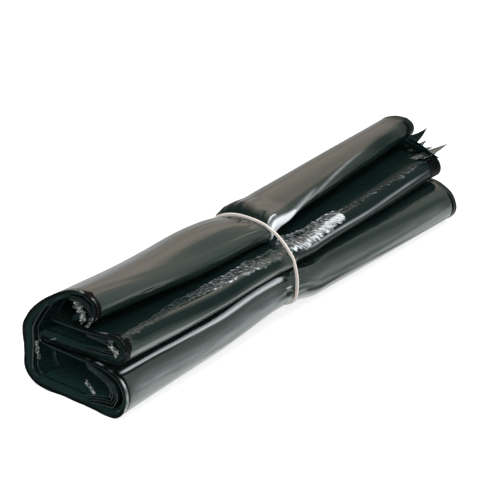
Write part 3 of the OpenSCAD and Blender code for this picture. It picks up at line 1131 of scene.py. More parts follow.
@dataclass
class BagRoll:
    """The rolled stack of sacks: its film, the layer edges at both ends and the loose corners.

    The steps of the film's rows are pairs of a distance from the band and the step up to there. A row of the
    hem line has a place along the roll, a knot, half the hem's width there and how strongly highlights are
    painted on it. A row of the hem's painted shade has a place and the share of the gloss that is taken away,
    a wave of its edges a height and a length. The painted glint of a rim has a strength, a depth from the end
    and a width, and its painted shadow a depth and a width.
    """

    stack: FoldedStack
    film: bpy.types.Material
    edges: bpy.types.Material
    sheets: bpy.types.Material
    recess: float = 6.0
    row_margin: float = 0.5
    fine_steps: tuple[tuple[float, float], ...] = ((16.0, 0.6), (60.0, 1.4), (160.0, 2.5), (400.0, 0.8))
    coarse_steps: tuple[tuple[float, float], ...] = ((8.0, 2.0), (30.0, 6.0), (400.0, 9.0))
    weave_depth: float = 12.0
    top_overhang: float = 5.0
    # Depths of the painted shade at the ends of the roll, deeper on the far top.
    end_shade: float = 3.5
    far_shade: float = 9.0
    leaf_depth: float = 16.0
    leaf_t: float = 0.24
    hem_span: tuple[float, float] = (-172.0, 172.5)
    hem_gap: tuple[float, float] = (2.0, 2.2)
    hem_step: float = 0.7
    # Where along the roll the hem has its crinkled patch with painted bright stripes.
    patch: tuple[float, float] = (6.0, 66.0)
    patch_fade: float = 6.0
    hem_waves: tuple[tuple[float, float], ...] = ((0.5, 2.3), (0.35, 0.83), (0.5, 6.7))
    hem_lip: tuple[float, float] = (0.8, 0.14)
    hem_reach: float = 5.0
    hem_crinkle: tuple[float, float] = (0.08, 0.32)
    # Painted glint on the near rims, and painted shadow behind it.
    rim_glint: Triple = (0.9, 1.6, 0.8)
    rim_shadow: tuple[float, float] = (4.2, 1.3)
    corner_path: float = 40.0
    # Folds with pale paint highlights; folds that take away the gloss paint shade.
    folds: tuple[FoldLine, ...] = (
        FoldLine(4.3, -172, -60, 0.4, 1.3, 0.6, 60.0, 0.06),
        FoldLine(3.75, -130, -30, 0.0, 3.8, 0.0, 35.0, painted_shade=1.0),
        FoldLine(22.45, -52, -3, -0.3, 2.4, -0.8, 20.0, painted_shade=1.0),
        FoldLine(3.2, -172, -2, 0.0, 5.4, painted_shade=1.0),
        FoldLine(35.95, -173, -2, 0.45, 1.1, 0.4, pale=0.02),
        FoldLine(37.15, -170, -3, -0.5, 4.2, -1.3, painted_shade=1.0),
        FoldLine(34.7, -172, -2, 0.0, 3.4, painted_shade=0.9),
        FoldLine(23.19, -172, -2, 1.0, 1.9, -1.5, 10.0, 4.4, taper=-0.5),
        FoldLine(24.5, -172, -2, 0.0, 3.6, painted_shade=1.0),
        FoldLine(22.15, -173, -5, 0.2, 8.0, 0.0, 20.0, 0.21),
        FoldLine(36.4, 4, 174, 0.6, 0.9, 0.3, 50.0, 0.42),
        FoldLine(36.45, 3, 76, 0.3, 0.9, 0.2, 30.0, 0.5, taper=0.3),
        FoldLine(36.9, 2, 176, -0.5, 9.0, 0.0, 6.0, painted_shade=1.0),
        FoldLine(35.4, 2, 176, -0.4, 9.0, 0.0, 6.0, painted_shade=1.0),
        FoldLine(24.7, 4, 174, 0.0, 3.0, painted_shade=0.8),
        FoldLine(22.35, 8, 172, 0.0, 5.0, -1.6, 20.0, 0.1),
        FoldLine(3.4, 0.5, 66, 1.7, 3.4, 5.0, 11.0, 0.7, taper=0.85),
        FoldLine(3.5, 1.2, 34, 0.9, 5.5, 2.6, 2.0, 3.4, taper=0.85),
        FoldLine(4.2, 30, 130, 0.7, 1.1, 4.6, 25.0, 0.3, taper=0.4),
        FoldLine(2.6, 2, 70, -1.3, 2.4, 2.0),
        FoldLine(2.9, 3, 175, 0.0, 4.6, 3.0, 16.0, painted_shade=1.0),
        FoldLine(5.0, 95, 190, 0.0, 11.0, 0.0, 75.0, painted_shade=0.9),
        FoldLine(6.2, 12, 176, 0.0, 12.0, 0.0, 20.0, painted_shade=0.3),
        FoldLine(40.0, 60, 175, 0.0, 7.0, 0.0, 30.0, painted_shade=1.0),
        FoldLine(38.27, 64, 176, 0.0, 7.5, -2.0, 6.0, painted_shade=1.0),
        FoldLine(9.0, 1.5, 15, 0.0, 26.0, 0.0, 3.5, painted_shade=1.0),
        FoldLine(23.05, 30, 176, -0.4, 2.8, -2.9, 20.0, painted_shade=0.5),
        FoldLine(21.75, 8, 176, 0.0, 2.4, -4.3, 10.0, painted_shade=1.0),
        FoldLine(5.6, 1.5, 14, 0.8, 0.7, -1.0, 4.0, 1.2),
        FoldLine(4.9, 1.5, 11, -0.9, 1.2, -0.6, 4.0, painted_shade=1.0),
        FoldLine(6.3, 1.5, 12, -0.9, 1.2, -0.8, 4.0, painted_shade=1.0),
        FoldLine(23.0, -13, 0, -1.2, 1.5, -0.8, 4.0, painted_shade=1.0),
        FoldLine(22.5, -8, 0, 0.6, 0.6, -0.3, 3.0, 0.9),
        FoldLine(22.1, -10, 0, -1.1, 1.2, 0.6, 4.0, painted_shade=1.0),
        FoldLine(21.6, -8, 0, 0.7, 0.7, 0.0, 3.0, 0.9),
        FoldLine(21.1, -15, 0, -1.1, 1.5, 1.6, 4.0, painted_shade=1.0),
        FoldLine(20.2, -10, 0, -1.0, 1.4, 1.0, 4.0, painted_shade=1.0),
        FoldLine(4.4, -172, -90, 0.6, 2.2, 1.5, 25.0),
        FoldLine(5.6, -150, -20, -0.35, 4.0, -3.0, 30.0),
        FoldLine(5.4, 60, 172, 0.4, 3.5, 2.0, 25.0),
        FoldLine(6.8, -140, -96, -0.45, 3.0, 2.0, 12.0),
        FoldLine(22.0, -172, -40, 0.5, 3.0, -3.0, 30.0),
        FoldLine(21.6, 20, 172, 0.6, 3.0, 4.0, 30.0),
    )
    loose: tuple[LooseLayers, ...] = (
        LooseLayers("loose_layers_near_low", End.NEAR, 18.2, 24.8, 7.2, 6.0, 4, 24.0, 1.5, 2.0),
        LooseLayers("loose_layers_near_mid", End.NEAR, 32.6, 39.4, 2.2, 3.0, 3, 18.0, 1.0, 3.0),
        LooseLayers("loose_layers_near_top", End.NEAR, 1.2, 8.6, 4.6, 4.4, 4, 20.0, 1.2, 4.0),
        LooseLayers("loose_layers_near_back", End.NEAR, 10.0, 16.5, 4.0, 3.4, 2, 22.0, 5.5, 5.0),
        LooseLayers("loose_layers_far_low", End.FAR, 18.2, 24.8, 5.0, 5.0, 4, 22.0, 1.5, 6.0),
        LooseLayers("loose_layers_far_back", End.FAR, 10.0, 16.5, 3.6, 3.4, 3, 22.0, 2.0, 7.0),
    )
    corners: tuple[FilmCorner, ...] = (
        FilmCorner((164, 26, 49.0), (168, 72, 49.5), (-4.0, 0.0, 16.0), (2.0, 0.0, 0.0)),
        FilmCorner((169, 66, 46.0), (171, 32, 52.0), (-3.0, 0.0, 14.0), (1.5, 0.0, 1.0)),
        FilmCorner((167, 40, 52.0), (182.2, 50.0, 60.0), (0.0, 8.0, -6.0), (0.0, 0.6, -2.6)),
        FilmCorner((160, 58, 46.6), (183.5, 66.8, 52.6), (2.0, 12.0, 2.0), (0.0, 0.8, 0.2), 0.22, 0.13),
        FilmCorner((163, 63, 46.0), (179.4, 64.2, 50.0), (0.0, 6.0, 0.5), (0.0, 0.0, 0.4)),
        FilmCorner((168, 48, 46.5), (177.6, 53.6, 53.4), (3.0, 6.0, 0.0), (0.0, 0.8, 1.0), 0.2, 0.1),
        FilmCorner((170, 54, 45.5), (178.4, 59.0, 49.4), (2.0, 7.0, 1.0), (0.0, 0.0, 1.4), 0.25, 0.06),
        FilmCorner((168, 19, 50.0), (169, 40, 53.0), (0.0, 0.0, 12.0), (0.0, 0.0, 0.0)),
        FilmCorner((-170, 42, 71.0), (-175.0, 54.0, 62.5), (-3.0, 7.0, 8.0), (0.0, 1.5, 1.5), 0.2, 1.6, 1.3),
        FilmCorner((-172, 60, 68.0), (-175.4, 57.0, 60.0), (-1.0, 4.0, 1.0), (0.0, 0.0, 0.0), 0.2, 1.6, 0.8),
        FilmCorner((-170, 69, 53.0), (-175.2, 82.0, 49.0), (-2.0, 2.0, 8.5), (0.0, 0.0, 0.5), 0.2, 1.5, 1.2),
        FilmCorner((-172, 52, 17.0), (-174.6, 62, 12.5), (-0.5, 1.5, 4.5), (0.0, 0.0, 0.5), 0.2, 1.5, 0.8),
        FilmCorner((-172, 9.5, 31.5), (-174.8, 14, 21.0), (-0.5, 4.0, 1.0), (0.0, 0.0, 0.0), 0.2, 1.4, 0.7),
        FilmCorner((-172, 12.5, 33.0), (-174.4, 29, 41.5), (-1.5, 0, 2.4), (0.0, 1.0, -1.0), 0.2, 0.5, 0.25),
    )
    # Rows of the hem line; the last value paints highlights on the hem.
    hem_line: tuple[tuple[float, float, float, float], ...] = (
        (-172.0, 37.7, 1.2, 0.04), (-150.0, 37.9, 1.7, 0.08), (-125.0, 38.15, 2.8, 0.1),
        (-100.0, 38.3, 4.0, 0.1), (-76.0, 38.33, 4.4, 0.45), (-66.0, 38.3, 5.2, 0.65),
        (-30.0, 38.2, 6.2, 0.6), (-20.0, 38.1, 6.0, 0.25), (-1.0, 38.0, 5.0, 0.1),
        (3.0, 38.2, 5.0, 0.6), (7.0, 38.2, 8.4, 0.9), (22.0, 38.15, 8.8, 0.8),
        (36.0, 38.12, 7.8, 0.8), (50.0, 38.15, 6.8, 0.85), (66.0, 38.1, 5.6, 0.9),
        (67.5, 38.15, 1.4, 0.2), (110.0, 38.0, 1.2, 0.2), (132.0, 37.75, 1.2, 0.2),
        (160.0, 37.9, 1.6, 0.16), (173.0, 37.9, 3.0, 0.07),
    )
    # Painted shade on the hem: the share of its gloss taken away, by place along the roll.
    hem_painted_shade: tuple[tuple[float, float], ...] = (
        (-120.0, 0.75), (-80.0, 0.3), (-4.0, 0.45), (4.0, 0.2), (66.0, 0.2), (72.0, 1.07))

    def rows(self, coarse: bool) -> np.ndarray:
        """Places along the roll at which the film has a row of points.

        Args:
            coarse: True for the inner side, which needs fewer.

        Returns:
            The places from the near end to the far one.
        """
        stop = self.stack.half_length - (self.recess if coarse else 0.0)
        waist, groove = self.stack.waist_x, self.stack.groove
        out = [0.0]
        while out[-1] < self.stack.half_length + waist:
            steps = self.coarse_steps if coarse else self.fine_steps
            out.append(out[-1] + next(step for limit, step in steps if out[-1] < limit))
        places = [waist - groove - d for d in reversed(out)]
        places += [waist - groove / 2, waist, waist + groove / 2]
        places += [waist + groove + d for d in out]
        x = [place for place in places if abs(place) < stop - self.row_margin]
        return np.array([-stop, *x, stop])

    def weave(self, x: np.ndarray, path: np.ndarray) -> np.ndarray:
        """Returns how far the ends of the film weave in, for places along the roll and on the path."""
        share = ease((np.abs(x) - self.stack.half_length) / self.weave_depth + 1.0) * np.sign(x)
        phase = np.where(x < 0, 0.0, 2.0)
        cap = self.stack.mask({"hook": (0.3, 1.0), "back": (1.0, 0.0)})
        out = np.where(x < 0, 0.0, self.top_overhang) * cap
        return share * (0.9 + 0.5 * np.sin(path / 9.0 + phase) + 0.4 * np.sin(path / 3.7 + 2 * phase) - out)

    @staticmethod
    def rim(depth: float, path: np.ndarray) -> np.ndarray:
        """Returns how far the film lifts in a rolled rim and dips behind it, at a depth from its end."""
        strength = 0.7 + 0.3 * np.sin(path / 6.1)
        return strength * (0.45 * bell(depth, 1.4, 0.9) - 0.3 * bell(depth, 4.0, 1.0))

    def hem_at(self, x: float | np.ndarray) -> np.ndarray:
        """Returns the knot, the half width and the painted highlight strength of the crumpled hem at x."""
        places, *values = np.array(self.hem_line).T
        return np.array([np.interp(x, places, row) for row in values])

    def film_marks(self, x: np.ndarray) -> dict[str, np.ndarray]:
        """How the folds, the rolled rims and the crumpled hem lift the film and paint highlights and shade on
        it.

        Args:
            x: The places of its rows along the roll.

        Returns:
            The masks fold_lift, painted highlight, painted shade and crinkle, with a row for each place.
        """
        s = self.stack
        lift, pale, painted_shade, crinkle = (np.zeros((len(x), len(s.samples))) for _ in range(4))
        lobes = s.mask({"hook": 1.0, "toe": (0.0, 1.0), "brow": 1.0, "nose": 1.0})
        upper = s.mask({"hook": 1.0, "back": (1.0, 0.0)})
        # Where along the path the painted rim glints fall.
        glints = np.clip(np.sin(s.path / 5.3) * np.sin(s.path / 2.1 + 1.0) + 0.2, 0.0, 1.0)
        strength, *glint_place = self.rim_glint
        plain, more = self.hem_crinkle
        for row, place in enumerate(x):
            run = s.run(place)
            for fold in self.folds:
                if fold.start < place < fold.stop:
                    shape = fold.shape(place, s.from_knot(run, fold.knot))
                    lift[row] += fold.height * shape
                    # Each fold paints its highlight and its shade.
                    pale[row] = np.maximum(pale[row], fold.pale * shape)
                    painted_shade[row] = np.maximum(painted_shade[row], fold.painted_shade * np.minimum(shape * 2.0, 1.0))
            depth, near = s.half_length - abs(place), float(place < 0)
            shine = lobes * near
            shade = self.end_shade + self.far_shade * upper * (1.0 - near)
            lift[row] += self.rim(depth, s.path)
            # Painted glints on the near rims of the lobes, painted shade a little behind them and along the
            # other rims.
            pale[row] += strength * shine * bell(depth, *glint_place) * glints
            painted_shade[row] = np.maximum(painted_shade[row], shine * bell(depth, *self.rim_shadow))
            painted_shade[row] = np.maximum(painted_shade[row], (1.0 - shine) * bell(depth, 0.0, shade))
            around = bell(s.from_knot(run, self.hem_at(place)[0]), 0.0, self.hem_reach)
            crinkle[row] = around * (plain + more * ease((self.patch[1] - place) / self.patch_fade))
        return {"fold_lift": lift, "painted_highlight": pale, "painted_shade_mask": painted_shade, "crinkle": crinkle}

    def film_mesh(self) -> bpy.types.Object:
        """Returns the closed wall of the roll, smooth, with the masks of its relief and of its painted light
        and shade.
        """
        s = self.stack
        x_out, x_in, pick = self.rows(False), self.rows(True), s.every(3)
        n, m, at_out, at_in = len(s.samples), len(pick), s.samples, s.samples[pick]
        outer, inner = s.points(x_out, Wall.OUTER.value), s.points(x_in, Wall.INNER.value)[:, pick]
        outer[..., 0] -= self.weave(outer[..., 0], s.path)
        first = len(x_out) * n
        out = np.arange(first).reshape(-1, n)
        into = np.arange(len(x_in) * m).reshape(-1, m) + first
        faces = grid_faces(len(x_out), n, 0, True) + grid_faces(len(x_in), m, first, False)
        faces += zipped(into[0], out[0], at_in, at_out) + zipped(out[-1], into[-1], at_out, at_in)
        faces += zipped(out[:, 0], into[:, 0], x_out, x_in) + zipped(into[:, -1], out[:, -1], x_in, x_out)
        masks = {
            "freedom": s.mask({"hook": 1.0, "back": 1.0, "heel": (0.7, 0.0), "toe": (0.0, 1.0), "brow": 1.0,
                               "pass": (0.6, 0.1), "shelf": (0.1, 0.5), "nose": 1.0, "valley": (0.8, 0.2)}),
            "gather": s.mask({"hook": 1.0, "back": 1.0, "heel": (1.0, 0.4), "under": 0.3, "toe": (0.4, 1.0),
                              "brow": (1.0, 0.5), "nose": (0.3, 0.8), "valley": (0.5, 0.0)}),
            # The inner side is painted lighter as light in the hollows; the outer side is not.
            "painted_hollow_light": np.zeros(n),
            **self.film_marks(x_out),
        }
        values = {
            "path_mm": np.concatenate([np.tile(s.path, len(x_out)), np.tile(s.path[pick], len(x_in))]),
            "along_mm": np.concatenate([np.repeat(x_out, n), np.repeat(x_in, m)]),
        }
        for name, mask in masks.items():
            hidden = np.full(len(x_in) * m, float(name == "painted_hollow_light"))
            values[name] = np.concatenate([np.broadcast_to(mask, out.shape).ravel(), hidden])
        points = np.concatenate([outer.reshape(-1, 3), inner.reshape(-1, 3)])
        return mesh_object("bag_roll_film", points, faces, values)

    def relieved(self, piece: bpy.types.Object, seed: float, crinkle_height: float) -> bpy.types.Object:
        """Returns a smooth piece of film with its waves, gathers and crinkles."""
        return pressed(piece, relief_tree(), {
            "Material": self.film, "Seed": seed, "Band place": self.stack.waist_x,
            "Groove": self.stack.groove, "Crinkle height": crinkle_height})

    def hem_marks(self, x: np.ndarray, across: np.ndarray) -> np.ndarray:
        """How strongly the crumpled hem is painted with highlights.

        Args:
            x: The places of its rows along the roll.
            across: The places of its points across it, from -1 to 1.

        Returns:
            One value for each point of each row: painted streaks at the lip and two painted stripes in the
                patch.
        """
        pale = self.hem_at(x)[2][:, None]
        start = np.interp(x, self.patch, (-0.75, -0.05))[:, None]
        front = 1.0 / (1.0 + np.exp((across - start) / 0.05))
        stripes = 0.5 + 2.2 * front + 1.8 * bell(across, 0.84, 0.09)
        return pale * np.where(pale > 0.5, stripes, 0.7 + 0.6 * bell(np.abs(across), *self.hem_lip))

    def crumpled_edge(self) -> bpy.types.Object:
        """Returns the crumpled hem of the outer sack, which runs along the middle lobe."""
        s = self.stack
        x = np.concatenate([np.arange(self.hem_span[0], s.waist_x - self.hem_gap[0], self.hem_step),
                            np.arange(s.waist_x + self.hem_gap[1], self.hem_span[1], self.hem_step)])
        cut = int(np.sum(x < s.waist_x))
        across = np.linspace(-1.0, 1.0, 25)
        knot, half, pale = self.hem_at(x)

        def ragged(phase: float) -> np.ndarray:
            """Returns the half width of the hem along the roll, made uneven."""
            waves = enumerate(self.hem_waves, 1)
            return half + sum(height * np.sin(x / length + n * phase) for n, (height, length) in waves)

        low_edge, high_edge = ragged(0.0), ragged(1.7)
        rows, reaches = [], []
        for k, place in enumerate(x):
            reach = across * np.where(across < 0, low_edge[k], high_edge[k])
            top, low = s.ribbon(place, knot[k], reach, 0.0), s.ribbon(place, knot[k], reach[::-1], -0.5)
            rows.append(np.concatenate([top, low, top[:1]]))
            reaches.append(np.concatenate([reach, reach[::-1], reach[:1]]))
        ring = len(rows[0])
        body = (1.0 - across ** 2) ** 0.4
        lip = bell(np.abs(across), *self.hem_lip)

        def rings(shown: np.ndarray | float) -> np.ndarray:
            """Returns values of the shown side for whole rings, with 0 on the hidden side."""
            shown = np.broadcast_to(shown, (len(x), len(across)))
            return np.concatenate([shown, 0.0 * shown, shown[:, :1]], axis=1).ravel()

        values = {
            "path_mm": np.ravel(reaches),
            "along_mm": np.repeat(x, ring),
            "freedom": rings(0.0),
            "gather": rings(0.0),
            "crinkle": rings(body * (0.25 + 0.95 * pale[:, None])),
            "fold_lift": rings(0.1 * body + 0.3 * lip * body),
            # Painted highlights on the hem, and painted shade that takes away its gloss.
            "painted_highlight": rings(self.hem_marks(x, across) * body),
            "painted_shade_mask": np.repeat(np.interp(x, *np.array(self.hem_painted_shade).T), ring),
        }
        faces = tube_faces(cut, ring, 0) + tube_faces(len(x) - cut, ring, cut * ring)
        piece = mesh_object("crumpled_hem", np.concatenate(rows), faces, values)
        merge(piece)
        return self.relieved(piece, 31.0, 0.45)

    def leaf_mesh(
        self, end: End, name: str, depth: float, share: np.ndarray, pick: np.ndarray
    ) -> bpy.types.Object:
        """A thin strip of film that follows the folded line at one end of the roll.

        Args:
            end: The end of the roll.
            name: Name of the piece.
            depth: How far the strip reaches into the roll.
            share: The strip's place in the wall, one value a sample.
            pick: Numbers of the samples that the strip has.

        Returns:
            The strip.
        """
        s, way = self.stack, end.value
        reach = np.array([0.0, 0.3, 0.55, 0.75, 0.9, 1.0])
        x = way * (s.half_length - depth * (1.0 - reach))
        half = self.leaf_t / s.stack_t
        sides = [s.points(x, share - half)[:, pick], s.points(x, share + half)[:, pick]]
        n = len(pick)
        rim = np.concatenate([sides[0], sides[1][::-1]])
        ring = len(rim)
        faces = grid_faces(ring, n, 0, way < 0)
        back = [(i, i + 1, (ring - 1) * n + i + 1, (ring - 1) * n + i) for i in range(n - 1)]
        faces += [q if way > 0 else q[::-1] for q in back]
        for i in (0, n - 1):
            cap = [k * n + i for k in range(ring)]
            faces.append(tuple(cap if (i == 0) == (way < 0) else cap[::-1]))
        across = np.array([s.across(place) for place in x])[:, pick]
        across = np.stack([np.zeros(across.shape[:2]), -across[..., 0], across[..., 1]], axis=-1)
        flare = s.mask({"hook": 0.6, "back": 0.15, "toe": 0.5, "brow": (0.5, 0.1), "nose": 0.7})
        values = {
            "path_mm": np.tile(s.path[pick], ring),
            "across": np.concatenate([across, across[::-1]]).reshape(-1, 3),
            "outness": np.repeat(np.concatenate([reach, reach[::-1]]), n),
            "flare": np.tile(flare[pick], ring),
        }
        return mesh_object(name, rim.reshape(-1, 3), faces, values)

    def leaves_piece(self, end: End, name: str) -> bpy.types.Object:
        """Returns the layer edges of the stacked sacks at one end."""
        s = self.stack
        strip = self.leaf_mesh(end, name, self.leaf_depth, np.zeros(len(s.samples)), s.every(2))
        return pressed(strip, leaves_tree(), {
            "Material": self.edges, "Leaves": 8, "Seed": 5.0 + end.value, "Ragged": 1.4, "Stepped": 3.2,
            "Outward": end.value, "Flutter": 0.4, "Span": 3.9})

    def loose_piece(self, layers: LooseLayers) -> bpy.types.Object:
        """Returns one group of sheets that stand free of the wall."""
        s = self.stack
        inside = np.flatnonzero((s.samples >= layers.first) & (s.samples <= layers.last))
        run = s.run(layers.end.value * s.half_length)
        share = np.zeros(len(s.samples))
        place = (run[inside] - run[inside[0]]) / (run[inside[-1]] - run[inside[0]])
        share[inside] = 0.7 + layers.bow / s.half_t * np.sin(math.pi * place) ** 0.8
        strip = self.leaf_mesh(layers.end, layers.name, layers.depth, share, inside[::2])
        return pressed(strip, leaves_tree(), {
            "Material": self.sheets, "Leaves": layers.leaves, "Seed": layers.seed, "Span": layers.span,
            "Ragged": 2.6, "Stepped": layers.back_by, "Outward": layers.end.value, "Flutter": 1.0})

    def corner_piece(self) -> bpy.types.Object:
        """Returns the loose corners of sacks at the far end and the tufts with painted glints inside the near
        end.
        """
        shells, pale, path, faces = [], [], [], []
        for k, corner in enumerate(self.corners):
            # Each corner's painted highlights, in blots on the tufts.
            top, low, white = corner.grid(1.0), corner.grid(-1.0), corner.highlight_blots()
            rows, ring = corner.points[0], 2 * corner.points[1] + 1
            faces += tube_faces(rows, ring, k * rows * ring)
            shells.append(np.concatenate([top, low[:, ::-1], top[:, :1]], axis=1).reshape(-1, 3))
            pale.append(np.concatenate([white, white[:, ::-1], white[:, :1]], axis=1).ravel())
            path.append(np.tile(np.arange(ring) * 1.2, rows) + self.corner_path * k)
        flat = np.concatenate(shells)
        values = {"path_mm": np.concatenate(path), "along_mm": flat[:, 0], "crinkle": np.full(len(flat), 0.5),
                  "painted_highlight": np.concatenate(pale)}
        piece = mesh_object("film_corners", self.stack.placed(flat[:, 0], flat[:, 1:]), faces, values)
        merge(piece)
        piece.data.materials.append(self.film)
        piece.data.materials.append(self.edges)
        place = piece.data.attributes["path_mm"].data
        for polygon in piece.data.polygons:
            corner = self.corners[int(place[polygon.vertices[0]].value // self.corner_path)]
            polygon.material_index = int(corner.pale == 0.0)
        return piece

    def build(self) -> list[bpy.types.Object]:
        """Returns all pieces of the roll, riding on its body."""
        pieces = [
            self.relieved(self.film_mesh(), 3.0, 0.35),
            self.crumpled_edge(),
            self.leaves_piece(End.NEAR, "layer_edges_near"),
            self.leaves_piece(End.FAR, "layer_edges_far"),
            self.corner_piece(),
            *(self.loose_piece(layers) for layers in self.loose),
        ]
        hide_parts("bag_roll")
        for piece in pieces:
            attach(piece, "root")
        return pieces


@dataclass
class RubberBand:
    """The narrow band that holds the roll at its waist.

    Its outline is taken at so many turns round the roll and eased over a spread of them on each side.
    """

    stack: FoldedStack
    rubber: bpy.types.Material
    width: float = 2.5
    thickness: float = 1.0
    gap: float = 0.2
    rounding: float = 0.35
    steps: int = 420
    turns: int = 720
    spread: int = 40
    softness: float = 15.0
    bow: float = 0.9
    most_bow: float = 1.2

    def outline(self) -> bpy.types.Object:
        """Returns the closed line that runs through the middle of the band."""
        s = self.stack
        ring = s.points(np.array([s.waist_x]), Wall.OUTER.value)[0][:, 1:]
        turn, out = np.radians(np.arange(0, 360, 6)), self.gap + self.thickness / 2
        fat: list[tuple[float, float]] = []
        for y, z in self.hull([tuple(p) for p in ring]):
            fat += zip(y + out * np.cos(turn), z + out * np.sin(turn))
        line = self.eased(np.array(self.hull(fat)))
        mesh = bpy.data.meshes.new("rubber_band_ring")
        edges = [(i, (i + 1) % len(line)) for i in range(len(line))]
        mesh.from_pydata([(s.waist_x * MM, y * MM, z * MM) for y, z in line], edges, [])
        return linked("rubber_band_ring", mesh)

    def eased(self, line: np.ndarray) -> np.ndarray:
        """Returns the outline with its straight runs bowed out a little, as the film fills the band."""
        centre = (line.max(axis=0) + line.min(axis=0)) / 2
        angle = np.linspace(-math.pi, math.pi, self.turns + 1)[:-1]
        at = np.arctan2(line[:, 1] - centre[1], line[:, 0] - centre[0])
        order = np.argsort(at)
        far = np.interp(angle, at[order], np.linalg.norm(line - centre, axis=1)[order], period=2 * math.pi)
        weights = bell(np.arange(-self.spread, self.spread + 1), 0.0, self.softness)
        round_trip = np.concatenate([far[-self.spread:], far, far[:self.spread]])
        wide = np.convolve(round_trip, weights / weights.sum(), "valid")
        far = far + np.clip(wide - far, 0.0, self.most_bow) * self.bow
        return centre + np.stack([np.cos(angle), np.sin(angle)], axis=1) * far[:, None]

    @staticmethod
    def hull(points: list[tuple[float, float]]) -> list[tuple[float, float]]:
        """Returns the points of the convex hull, in counter-clockwise order."""
        points = sorted(set(points))
        halves = []
        for run in (points, points[::-1]):
            chain: list[tuple[float, float]] = []
            for p in run:
                while len(chain) > 1 and ((chain[-1][0] - chain[-2][0]) * (p[1] - chain[-2][1])
                                          - (chain[-1][1] - chain[-2][1]) * (p[0] - chain[-2][0])) <= 0:
                    chain.pop()
                chain.append(p)
            halves += chain[:-1]
        return halves

    def build(self) -> list[bpy.types.Object]:
        """Returns the band, riding on the roll's body."""
        values = {"Material": self.rubber, "Width": self.thickness * MM, "Thickness": self.width * MM,
                  "Rounding": self.rounding * MM, "Steps": self.steps}
        piece = pressed(self.outline(), band_tree(), values)
        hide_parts("rubber_band")
        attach(piece, "root")
        return [piece]


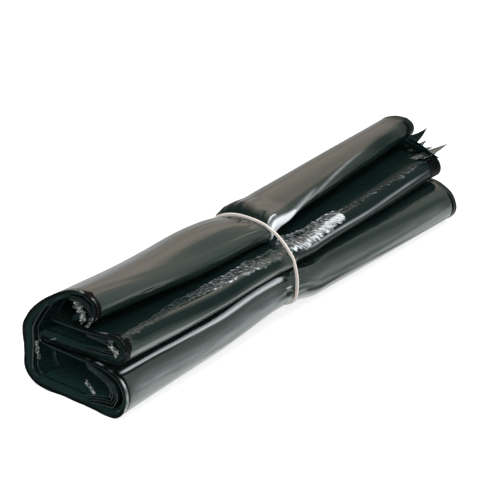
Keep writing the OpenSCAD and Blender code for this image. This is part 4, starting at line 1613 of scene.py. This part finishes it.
@dataclass
class Studio:
    """The floor, the soft lights and the camera. Lengths are in metres, but for the lens in millimetres."""

    camera_place: Triple = (-1.895, -1.594, 1.385)
    aim: Triple = (0.0, 0.0, 0.038)
    lens: float = 306.0
    sensor: float = 36.0
    clip_start: float = 0.01
    floor_size: float = 8.0
    floor_colour: Triple = (0.55, 0.55, 0.55)
    floor_glow: float = 0.75
    floor_shine: float = 1.0
    # Distances across the floor from under the roll over which its painted pool of light fades out.
    painted_light_pool: tuple[float, float] = (0.055, 0.15)
    room_front: float = 0.6
    room_left: float = 0.12
    room_low: float = 0.8
    room_back: float = 0.8
    room_light: float = 0.85
    warm: Triple = (1.0, 0.82, 0.74)

    def aimed(self, obj: bpy.types.Object, place: Triple) -> None:
        """Puts an object at a place and turns it towards the roll."""
        obj.location = place
        obj.rotation_euler = (Vector(self.aim) - Vector(place)).to_track_quat("-Z", "Y").to_euler()

    def camera(self) -> None:
        """Sets up the camera at the photograph's viewing angle."""
        data = bpy.data.cameras.new("camera")
        data.lens, data.sensor_width, data.clip_start = self.lens, self.sensor, self.clip_start
        camera = linked("camera", data)
        self.aimed(camera, self.camera_place)
        bpy.context.scene.camera = camera

    def floor(self) -> None:
        """Lays the pale floor, which shows as near white and keeps the roll's shadow."""
        half = self.floor_size / 2
        mesh = bpy.data.meshes.new("floor")
        corners = [(-half, -half, 0), (half, -half, 0), (half, half, 0), (-half, half, 0)]
        mesh.from_pydata(corners, [], [(0, 1, 2, 3)])
        mat, w = started("floor_paper", self.floor_colour, 1.5)
        seen, shine = w.rays()
        _, y, _ = w.sides(w.place())
        # Painted pool of light: under and beside the roll the floor glows, for reflections only.
        painted_light_pool = w.step(y.math("ABSOLUTE"), *self.painted_light_pool, self.floor_shine, 0.0)
        w.sets(
            Base_Color=self.floor_colour,
            Roughness=0.9,
            Specular_IOR_Level=0.0,
            Emission_Color=(1.0, 1.0, 1.0),
            Emission_Strength=seen * self.floor_glow + shine * painted_light_pool,
        )
        mesh.materials.append(mat)
        linked("floor", mesh)

    def world(self) -> None:
        """Gives the world a soft even light, white to the camera and with darker sides in reflections."""
        world = bpy.data.worlds.new("white_room")
        bpy.context.scene.world = world
        w = ShaderWriter(world, "Background")
        x, y, z = w.sides(w.place("Generated"))
        behind = w.step(y, -0.35, 0.45, 0.0, 1.0)
        shown = behind * (self.room_back - self.room_front) + self.room_front
        shown = shown * w.step(x, -0.6, 0.15, self.room_left, 1.0) * w.step(z, 0.05, 0.5, self.room_low, 1.0)
        seen, shine = w.rays()
        rest = (seen + shine) * -1.0 + 1.0
        w.sets(
            Color=w.mix(shine * behind, (1.0, 1.0, 1.0), self.warm),
            Strength=seen + shine * shown + rest * self.room_light,
        )

    def lamp(self, name: str, place: Triple, size: tuple[float, float], power: float, colour: Triple) -> None:
        """Sets up a soft rectangular lamp that points at the roll.

        Args:
            name: Name of the lamp.
            place: Where it stands.
            size: Its width and height.
            power: Its power in watts.
            colour: Its colour.
        """
        data = bpy.data.lights.new(name, "AREA")
        data.shape, data.size, data.size_y = "RECTANGLE", *size
        data.energy, data.color = power, colour
        self.aimed(linked(name, data), place)

    def build(self) -> None:
        """Builds the stage, its lights and its camera."""
        self.floor()
        self.world()
        self.camera()
        self.lamp("back_softbox", (1.3, 1.5, 1.15), (2.2, 1.3), 3.0, (1.0, 0.82, 0.72))
        self.lamp("overhead", (-0.1, -0.5, 1.7), (0.5, 0.5), 11.0, (0.97, 1.0, 1.0))
        self.lamp("front_softbox", (-1.3, -1.7, 1.9), (0.8, 0.8), 7.0, (1.0, 1.0, 1.0))


def write_sizes() -> None:
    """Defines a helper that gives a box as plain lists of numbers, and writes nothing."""
    def plain(box: Iterable) -> list:
        """Returns a box as plain lists of numbers."""
        return [[float(c) for c in corner] for corner in box]


def main() -> None:
    """Builds the roll, its band and the studio, and reports each piece."""
    logging.basicConfig(level=logging.INFO, format="%(name)s: %(message)s")
    bpy.context.scene.view_settings.view_transform = "Standard"
    marks = wear_group()
    stack = FoldedStack()
    # The loose sheets get the same painted glints and painted lighter colour further in.
    sheets = LeafFinish("film_sheets", (0.006, 0.018, 0.016), (0.02, 0.055, 0.05), glint=0.28,
                        roughness=0.25, specular=0.4)
    roll = BagRoll(stack, FilmFinish().material(marks), LeafFinish().material(marks), sheets.material(marks))
    band = RubberBand(stack, BandFinish().material(marks))
    Studio().build()
    for assembly in (roll, band):
        for piece in assembly.build():
            piece.data.calc_loop_triangles()
            log.info("%s: %d triangles", piece.name, len(piece.data.loop_triangles))
    write_sizes()


if __name__ == "__main__":
    main()
